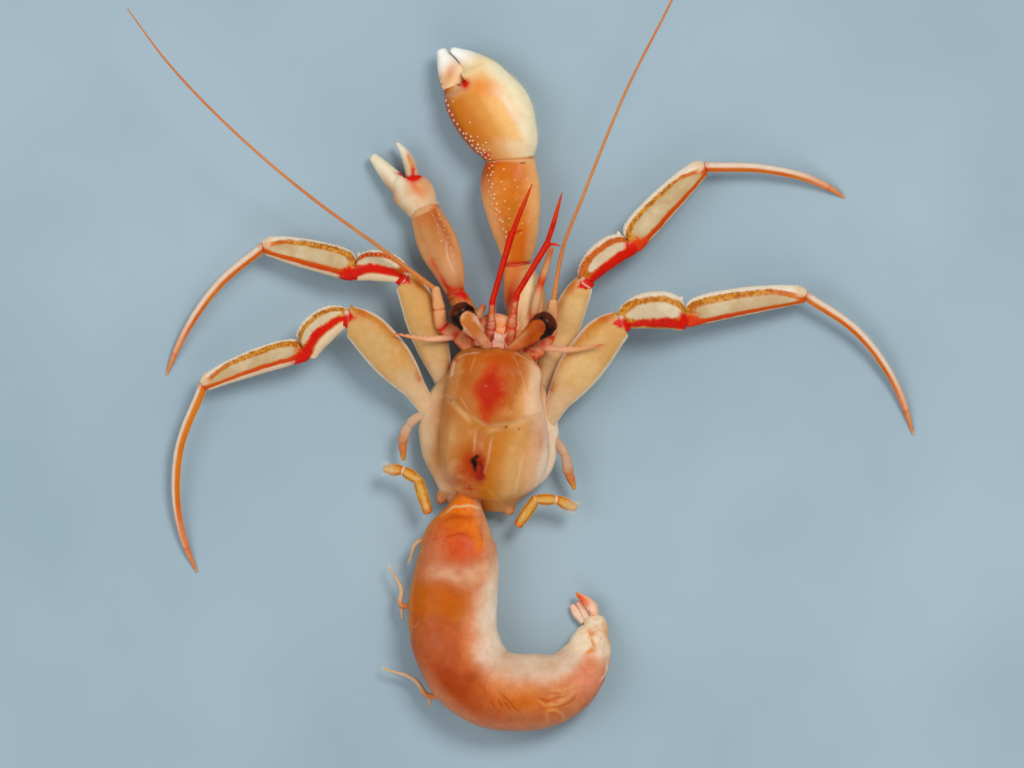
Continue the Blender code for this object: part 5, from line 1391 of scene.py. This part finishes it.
def make_rear_legs(side):
    name = SIDES[side]
    rows = [(*row[:3], row[3] * k, row[4] * k) for row, k in zip(LEG4[side], (0.7, 0.65, 0.75, 0.8))]
    skin = loft(rows, 90, 40, side, domes=(0.2, 0.2))
    joints = near(skin.u, 0.42, 0.03) + near(skin.u, 0.76, 0.03)
    skin.push(-0.07 * joints + 0.03 * noise(skin.points, 0.5, 70))
    along = skin.u + 0.1 * noise(skin.points, 0.6, 75)
    tint = paint((202, 166, 134), ((210, 110, 34), ramp(along, 0.5, 0.8) * 0.85),
                 (YELLOW, ramp(skin.u, 0.85, 1.0) * 0.6))
    piece(f"leg4_{name}_shell", skin, tint, "leg", "leg_shell", f"leg4_{name}")

    start, knee = (np.array(p) for p in LEG5[side]["merus"])
    hand = [np.array(p) for p in LEG5[side]["hand"]]
    bend = joint_way(start, knee, hand[1])
    rows = stops(start, knee, (0, 0.8 * LEG5_WIDTH, 0.42), (0.5, LEG5_WIDTH, 0.46),
                 (1, 0.9 * LEG5_WIDTH, 0.42))
    skin = loft(rows, 60, 40, side, domes=(0.2, 0.3))
    skin.push(0.02 * noise(skin.points, 0.5, 71)).press(knee - bend * 0.04, bend, 0.12)
    p, width = skin.points, np.abs(skin.f)
    pale = near(skin.f, 0.0, 0.4) * ramp(skin.t, 0.2, 0.6)
    tint = paint(
        (212, 142, 30),
        ((216, 160, 60), cloud(p, 0.7, 72, -0.3, 0.4)),
        ((222, 190, 130), pale * cloud(p, 0.5, 84, -0.4, 0.2) * 0.7),
        ((180, 88, 10), near(width, 0.72, 0.14) * cloud(p, 0.5, 76, -0.5, 0.1) * 0.7),
        ((150, 84, 20), cloud(p, 0.12, 90, 0.35, 0.6) * 0.6),
        (CREAM, ramp(width, 0.88, 1.0) * 0.6),
        (ORANGE, ramp(skin.u, 0.2, 0.0) * 0.6),
    )
    piece(f"leg5_{name}_merus_shell", skin, tint, "leg", "leg_shell", f"leg5_{name}_merus")
    rows = stops(knee, knee + bend, (-0.2, 0.36, 0.34), (0.2, 0.36, 0.34))
    fold = loft(rows, 12, 30, side, domes=(0.08, 0.08))
    tint = paint(CREAM, (AMBER, near(fold.u, 0.5, 0.2) * 0.4))
    piece(f"leg5_{name}_knee_fold", fold, tint, "membrane", "soft_skin")

    rows = [*stops(hand[0], hand[1], (0, 0.40, 0.38), (0.6, 0.50, 0.44)),
            *stops(hand[1], hand[2], (0, 0.40, 0.38), (0.6, 0.52, 0.44), (1, 0.34, 0.30))]
    skin = loft(rows, 110, 40, side, domes=(0.3, 0.3))
    skin.push(-0.09 * near(skin.u, 0.5, 0.025) + 0.03 * noise(skin.points, 0.4, 73))
    skin.press(knee + bend * 0.04, -bend, 0.12)
    p, width = skin.points, np.abs(skin.f)
    tint = paint(
        (212, 142, 30),
        ((216, 160, 60), cloud(p, 0.6, 74, -0.3, 0.4)),
        ((226, 186, 120), near(skin.f, -0.2, 0.3) * ramp(skin.t, 0.2, 0.6) * 0.6),
        ((196, 92, 10), near(width, 0.68, 0.16) * cloud(p, 0.4, 89, -0.5, 0.1) * 0.7),
        (ORANGE, near(skin.u, 0.55, 0.04) * 0.5),
        ((150, 84, 20), cloud(p, 0.12, 90, 0.35, 0.6) * 0.5),
        (WHITE, near(skin.u, 0.5, 0.02) * 0.7 + ramp(width, 0.9, 1.0) * 0.4),
        ((214, 184, 140), ramp(skin.u, 0.6, 0.95) * 0.7),
    )
    piece(f"leg5_{name}_hand_shell", skin, tint, "leg", "leg_shell", f"leg5_{name}_hand")

    tip, way = hand[2], unit(hand[2] - hand[1])
    turn, up = np.cross((0.0, 0.0, 1.0), way), np.array((0.0, 0.0, 1.0))
    roots, ways = [], []
    for k in range(34):
        lean, lift = math.sin(2.4 * k), math.cos(1.7 * k)
        roots.append(tip - way * (0.45 - 0.4 * (k % 5) / 4) + turn * 0.28 * lean + up * 0.22 * lift)
        ways.append(way + turn * 0.9 * lean + up * 0.4 * lift)
    lengths = [0.35 + 0.25 * (k % 4) / 3 for k in range(34)]
    hairs(f"leg5_{name}_tuft", roots, ways, lengths, 0.022, (230, 214, 176), "leg_shell")


# Abdomen

ABDOMEN = [
    (-0.45, -8.0, 3.1, 1.0, 0.95), (-0.62, -9.6, 3.0, 1.2, 1.1), (-0.70, -10.7, 2.8, 1.9, 1.7),
    (-0.80, -12.3, 2.7, 2.85, 2.5), (-0.75, -14.5, 2.75, 3.2, 2.8), (-0.70, -17.8, 2.8, 3.52, 2.95),
    (-0.05, -21.0, 2.8, 3.48, 2.95), (1.40, -23.3, 2.75, 3.40, 2.9), (3.50, -24.65, 2.7, 3.20, 2.8),
    (5.80, -24.75, 2.6, 3.10, 2.7), (8.20, -24.15, 2.5, 2.98, 2.6), (10.15, -22.75, 2.3, 2.62, 2.4),
    (11.15, -20.9, 1.85, 2.05, 1.95), (11.45, -19.0, 1.35, 1.45, 1.4), (11.55, -18.2, 1.15, 1.02, 1.15),
    (11.4, -17.6, 1.0, 0.82, 0.9),
]
# How far round the abdomen its cloudy side reaches, at places along it
CLOUDY_SIDE = (0.0, 0.15, 0.22, 0.3, 0.5, 0.7, 0.85, 1.0), (-1.2, -1.1, -0.6, -0.5, -0.36, -0.2, 0.0, 0.2)
RING_CUTS = (5 / 60, 16 / 60, 28 / 60, 41 / 60, 51 / 60)
# Fine strands seen through the skin at the bend
GOLD_STRANDS = [([(552, 690), (562, 691), (572, 686), (579, 680)], 0.13),
                ([(556, 700), (566, 699), (575, 691)], 0.13),
                ([(536, 699), (545, 705), (556, 704), (567, 701)], 0.13),
                ([(545, 711), (556, 709), (563, 714)], 0.13), ([(562, 713), (564, 723)], 0.13)]
DARK_STRANDS = [([(535, 698), (548, 701), (556, 698), (565, 695)], 0.10),
                ([(558, 706), (569, 703), (578, 694)], 0.10), ([(545, 693), (557, 693), (568, 689)], 0.10),
                ([(560, 713), (561, 721)], 0.10), ([(478, 683), (484, 687), (485, 693)], 0.10)]
RED_STRANDS = [([(499, 690), (506, 698), (514, 707), (521, 713)], 0.07), ([(497, 697), (503, 707)], 0.07),
               ([(490, 700), (496, 707)], 0.07), ([(503, 700), (511, 711)], 0.07)]
ABDOMEN_LAYERS = {
    "flesh": [
        ((234, 122, 10), 1.2, (468, 514, 3.0, 2.2)),
        ((214, 82, 28), 0.95, (456, 546, 2.4, 1.5), (480, 538, 1.0, 1.3)),
        ((202, 126, 84), 0.8, (430, 552, 0.9, 1.6)),
        ((222, 166, 128), 1.0, (464, 575, 2.2, 0.8, 14), (440, 572, 1.0, 0.9, -20, 0.5),
         (487, 570, 0.9, 1.3)),
        ((198, 100, 10), 1.3, (448, 604, 3.0, 1.4), (422, 600, 1.2, 1.2)),
        ((170, 72, 8), 0.5, ([(436, 618), (456, 624), (474, 620), (477, 606)], 0.35)),
        ((186, 94, 50), 0.7, (430, 640, 1.3, 1.8), (452, 650, 1.4, 1.8)),
        ((166, 58, 4), 1.0, (456, 684, 2.4, 1.3, -40), (478, 668, 0.9, 2.0, -35)),
        ((220, 122, 62), 0.8, (474, 640, 0.9, 2.6, -10), (496, 684, 1.6, 0.9, -30)),
        ((216, 124, 36), 0.9, (530, 700, 3.2, 1.4)),
        ((226, 150, 104), 0.9, (574, 694, 2.0, 1.4, 30), (598, 664, 1.2, 1.6)),
        ((186, 108, 66), 0.7, (515, 722, 3.0, 0.6), (558, 716, 2.0, 0.7)),
    ],
    "bend": [((206, 96, 10), 0.7, (532, 702, 2.2, 0.7, 12), (552, 714, 1.0, 0.5))],
    "waist": [
        ((232, 196, 138), 0.9, ([(441, 515), (455, 507), (470, 505), (488, 511)], 0.10)),
        ((176, 62, 2), 0.6, ([(438, 522), (456, 516), (482, 519)], 0.25)),
        ((190, 60, 2), 0.8, ([(443, 537), (462, 533), (484, 539)], 0.1)),
        ((176, 50, 2), 0.7, ([(479, 526), (482, 540), (480, 553)], 0.09)),
        ((244, 132, 16), 0.75, (475, 530, 0.5, 1.0, 10), (480, 545, 0.45, 0.7)),
        ((240, 186, 132), 0.7, (489, 526, 0.4, 1.2, 10)),
    ],
    "tail patches": [
        ((230, 134, 34), 0.9, ([(587, 628), (592, 632), (598, 628)], 0.24),
         ([(590, 634), (594, 641), (595, 648)], 0.16), ([(594, 646), (590, 653), (585, 658)], 0.28),
         ([(600, 634), (602, 645)], 0.1)),
    ],
    "tail edge": [((244, 184, 96), 0.7, ([(603, 617), (608, 631), (609, 648)], 0.14))],
    "tail": [((250, 236, 212), 0.7, (602, 644, 0.3, 1.3), (598, 620, 0.5, 0.35)),
             ((236, 146, 110), 0.7, (594, 668, 1.2, 1.1), (586, 682, 1.2, 0.8))],
    "tail lines": [(WHITE, 0.6, ([(607, 660), (608, 667), (605, 675), (599, 682)], 0.09)),
                   ((226, 170, 130), 0.5, ([(584, 634), (595, 627), (606, 634)], 0.09))],
}


def make_abdomen():
    rows = [(*row[:3], row[3], row[3] + 0.32 * (row[3] > 2.9), row[4], row[4]) for row in ABDOMEN]
    skin = loft(rows, 460, 180, LEFT, 2.15, (0.3, 0.3))
    p, u, f = skin.points, skin.u, skin.f
    wander = f + 0.2 * noise(p, 2.4, 85) + 0.07 * noise(p, 0.7, 86) - np.interp(u, *CLOUDY_SIDE)
    flesh = ramp(wander, -0.4, 0.4)
    folds = np.cos((u + 0.05 * noise(p, 2.6, 80) + 0.03 * f) * TAU * 30) * cloud(p, 1.8, 81, 0.0, 0.6) * flesh
    along = u + 0.01 * noise(p, 2.0, 79)
    cuts = sum(near(along, cut, 0.006) for cut in RING_CUTS) * ramp(f, -0.6, 0.4)
    tail = ramp(u + 0.02 * noise(p, 1.2, 78), 0.86, 0.92)
    gold, dark, bright = (marks(p, *strands) for strands in (GOLD_STRANDS, DARK_STRANDS, RED_STRANDS))
    skin.push(0.03 * folds * ramp(u, 0.12, 0.3) + 0.10 * noise(p, 2.8, 82) * ramp(u, 0.1, 0.2) - 0.04 * cuts
              + (0.04 * gold - 0.03 * dark) * ramp(skin.t, 0.0, 0.4) + 0.02 * noise(p, 0.4, 83)
              + 0.05 * tail * noise(p, 0.7, 84))
    skin.settle()
    p = skin.points
    warp = warped(p, 1.6, (93, 94, 98), 0.7)
    slow = noise(p, 2.2, 87)
    veins = near(noise(warp, 1.1, 99), 0.0, 0.03) * ramp(u, 0.3, 0.1) * flesh
    fine_veins = near(noise(warp, 0.7, 77), 0.0, 0.03) * flesh * ramp(u, 0.85, 0.6)
    fleshy = paint(
        (184, 86, 34),
        ((200, 112, 56), ramp(slow, -0.4, 0.4)),
        *layers(warp, ABDOMEN_LAYERS["flesh"]),
        ((230, 168, 118), ramp(folds, 0.3, 0.9) * 0.25),
        *layers(warp, ABDOMEN_LAYERS["bend"]),
        ((178, 62, 4), dark * 0.7),
        ((236, 174, 96), gold * 0.55),
        ((164, 34, 0), bright * 0.7),
        ((196, 76, 14), cloud(warp, 1.0, 88, 0.1, 0.6) * 0.3),
        ((172, 58, 8), cloud(p, 0.5, 76, 0.3, 0.7) * ramp(u, 0.3, 0.5) * ramp(u, 0.72, 0.6) * 0.35),
        ((226, 150, 112), ramp(f, 0.6, 0.95) * ramp(u, 0.42, 0.52) * ramp(u, 0.84, 0.76) * 0.55),
    )
    cloudy = paint((246, 232, 210), ((240, 204, 170), ramp(slow, -0.2, 0.5) * 0.8),
                   ((206, 166, 136), ramp(u, 0.46, 0.6) * ramp(u, 0.94, 0.82) * 0.6))
    tint = paint(
        (236, 164, 112),
        (cloudy, ramp(wander, 0.15, -0.35)),
        (fleshy, flesh),
        ((212, 168, 128), ramp(u, 0.24, 0.14) * ramp(f, -0.3, -0.7) * 0.6),
        (RED, veins * 0.35 + fine_veins * 0.25),
        *layers(p, ABDOMEN_LAYERS["waist"]),
        ((214, 130, 10), ramp(f, 0.86, 0.97) * ramp(u, 0.02, 0.1) * ramp(u, 0.42, 0.37) * 0.85),
        ((250, 228, 196), tail * 0.85),
        ((216, 150, 78), tail * cloud(p, 1.1, 91, -0.1, 0.4) * 0.5),
        *layers(warp, ABDOMEN_LAYERS["tail patches"], cloud(p, 0.4, 92, -0.7, 0.2)),
        *layers(p, ABDOMEN_LAYERS["tail edge"]),
        *layers(warp, ABDOMEN_LAYERS["tail"]),
        *layers(p, ABDOMEN_LAYERS["tail lines"]),
        (PALE, ramp(skin.t, -0.3, -0.8) * 0.6),
    )
    piece("abdomen_skin", skin, tint, "skin", "soft_skin", *(f"abdomen_{k}" for k in range(1, 7)))


TAIL = {
    "uropod_left": [(11.35, -17.3, 1.15, 0.36, 0.34), (10.98, -16.57, 1.25, 0.45, 0.34),
                    (10.31, -16.08, 1.25, 0.36, 0.30), (9.62, -15.73, 1.2, 0.16, 0.2)],
    "telson": [(10.85, -17.75, 0.7, 0.38, 0.34), (10.37, -17.0, 0.7, 0.40, 0.30),
               (9.85, -16.41, 0.7, 0.26, 0.25)],
    "uropod_right": [(10.45, -17.9, 0.55, 0.32, 0.30), (9.82, -17.26, 0.5, 0.42, 0.28),
                     (9.37, -16.8, 0.5, 0.25, 0.24)],
}
TAIL_COLOURS = {"uropod_left": ((255, 208, 178), (240, 96, 34)), "telson": ((252, 216, 190), (250, 196, 166)),
                "uropod_right": ((252, 222, 198), (250, 204, 178))}
PLEOPODS = {
    "pleopod_2": [(-3.2, -12.9, 2.5), (-4.35, -13.7, 2.1), (-4.6, -15.2, 1.7)],
    "pleopod_3": [(-3.9, -18.85, 2.3), (-4.75, -18.9, 2.1), (-4.93, -17.7, 1.9), (-6.18, -16.0, 1.5)],
    "pleopod_4": [(-0.5, -26.0, 2.2), (-1.4, -26.0, 2.0), (-2.57, -24.97, 1.7), (-5.29, -24.4, 1.3)],
}
PLEOPOD_LOBES = {"pleopod_3": (-4.5, -19.95, 1.8), "pleopod_4": (-1.0, -26.75, 1.7)}


def make_tail():
    for name, rows in TAIL.items():
        skin = loft(rows, 90, 48, domes=(0.2, 0.15))
        p = skin.points
        ribs = np.cos(skin.f * 3.6 * TAU / 2 + noise(p, 0.5, 94))
        skin.push(0.02 * noise(p, 0.4, 95) + 0.02 * ribs)
        p = skin.points
        base, tip = TAIL_COLOURS[name]
        tint = paint(base, (tip, ramp(skin.u + 0.15 * noise(p, 0.4, 96), 0.3, 0.8)))
        if name == "uropod_left":
            streak = noise(p * (1.0, 0.35, 1.0), 0.16, 92)
            tint = paint(tint, (RED, ramp(streak, 0.0, 0.5) * 0.6 * ramp(skin.f, -0.6, 0.3)),
                         ((236, 190, 160), ramp(skin.f + 0.2 * streak, -0.1, -0.7) * 0.8),
                         ((232, 140, 30), ramp(skin.u, 0.93, 1.0) * 0.8))
        piece(f"{name}_blade", skin, tint, "skin", "soft_skin", name)
        before, end = (np.array(row[:3]) for row in rows[-2:])
        tuft(f"{name}_fringe", before, end, 2.1, 0.14, 0.7, [0.1] * 16,
             [0.25 + 0.12 * (k % 3) for k in range(16)], 0.018, (226, 202, 170), "soft_skin")


def make_pleopods():
    for name, points in PLEOPODS.items():
        radii = (0.24, 0.24, 0.20, 0.07) if len(points) == 4 else (0.26, 0.21, 0.08)
        skins = [loft([(*p, r, r) for p, r in zip(points, radii)], 90, 24, domes=(0.2, 0.06))]
        if name in PLEOPOD_LOBES:
            rows = [(*points[1], 0.2, 0.2), (*PLEOPOD_LOBES[name], 0.09, 0.09)]
            skins.append(loft(rows, 30, 20, domes=(0.1, 0.08)))
        skin = joined(skins)
        skin.push(0.02 * noise(skin.points, 0.4, 97))
        tint = paint((210, 174, 140), ((212, 116, 40), ramp(skin.u, 0.4, 0.15) * 0.8),
                     ((222, 182, 110), ramp(skin.u, 0.85, 1.0) * 0.6))
        piece(f"{name}_ramus", skin, tint, "membrane", "feeler", name)
        before, tip = (np.array(p) for p in points[-2:])
        tuft(f"{name}_setae", before, tip, 2.3, 0.04, 0.6, [0.5 * (k % 7) / 6 for k in range(14)],
             [0.3 + 0.12 * (k % 3) for k in range(14)], 0.014, (226, 206, 174), "feeler")


# Floor, camera and lights

FLOOR_HALF = 0.6
FLOOR_DROP = 2e-5


def make_floor():
    mesh = bpy.data.meshes.new("floor")
    corners = [(x * FLOOR_HALF, y * FLOOR_HALF, -FLOOR_DROP) for x, y in ((-1, -1), (1, -1), (1, 1), (-1, 1))]
    mesh.from_pydata(corners, [], [(0, 1, 2, 3)])
    floor = placed("floor", mesh)
    made = bpy.data.materials.new("floor_look")
    made.use_nodes = True
    tree = made.node_tree
    place = add_node(tree, "TexCoord", {}, "Object")
    clouds = add_node(tree, "TexNoise", {"Vector": place, "Scale": 35.0, "Detail": 3.0}, "Fac")
    shade = two_tone(tree, clouds, linear((144, 168, 182)), linear((160, 182, 194)))
    set_inputs(tree, tree.nodes["Principled BSDF"], {"Base Color": shade, "Roughness": 0.55})
    mesh.materials.append(made)


CAMERA_HEIGHT = 1200.0
PICTURE_WIDTH = 1024 / PX_PER_MM
PICTURE_MIDDLE_PX = (512, 384)
SENSOR = 36.0


def make_camera():
    camera = placed("camera", bpy.data.cameras.new("camera"))
    camera.data.sensor_width = SENSOR
    camera.data.lens = SENSOR * (CAMERA_HEIGHT - 3.0) / PICTURE_WIDTH
    camera.data.clip_start = 0.05
    x, y = plan(*PICTURE_MIDDLE_PX)
    camera.location = (x * MM, y * MM, CAMERA_HEIGHT * MM)
    camera.rotation_euler = (0.0, 0.0, TILT)
    bpy.context.scene.camera = camera


LIGHTS = {   # place in m, size in m, power in W, colour
    "key": ((0.16, 0.26, 0.50), 0.22, 1.7, (1.0, 0.98, 0.95)),
    "fill": ((-0.34, -0.05, 0.42), 0.40, 0.9, (0.95, 0.98, 1.0)),
    "back": ((0.10, -0.40, 0.35), 0.30, 0.4, (1.0, 0.97, 0.94)),
}

def make_lights():
    for name, (place, size, power, colour) in LIGHTS.items():
        light = bpy.data.lights.new(name, "AREA")
        light.shape, light.size, light.energy, light.color = "DISK", size, power, colour
        obj = placed(name, light)
        obj.location = place
        obj.rotation_euler = (-Vector(place)).to_track_quat("-Z", "Y").to_euler()
    world = bpy.data.worlds.new("world")
    world.use_nodes = True
    set_inputs(world.node_tree, world.node_tree.nodes["Background"],
               {"Color": (0.97, 0.98, 1.0, 1.0), "Strength": 0.36})
    bpy.context.scene.world = world
    bpy.context.scene.view_settings.view_transform = "Standard"
    bpy.context.scene.view_settings.look = "None"


def main():
    make_carapace()
    make_shield()
    for side in (LEFT, RIGHT):
        make_eye(side)
    make_ocular_acicles()
    make_mouth_field()
    for side in (LEFT, RIGHT):
        make_antennule(side)
        make_antenna(side)
        make_maxilliped(side)
        make_cheliped(side)
        make_leg("leg2", side)
        make_leg("leg3", side)
        make_rear_legs(side)
    make_abdomen()
    make_tail()
    make_pleopods()
    make_floor()
    make_camera()
    make_lights()


main()
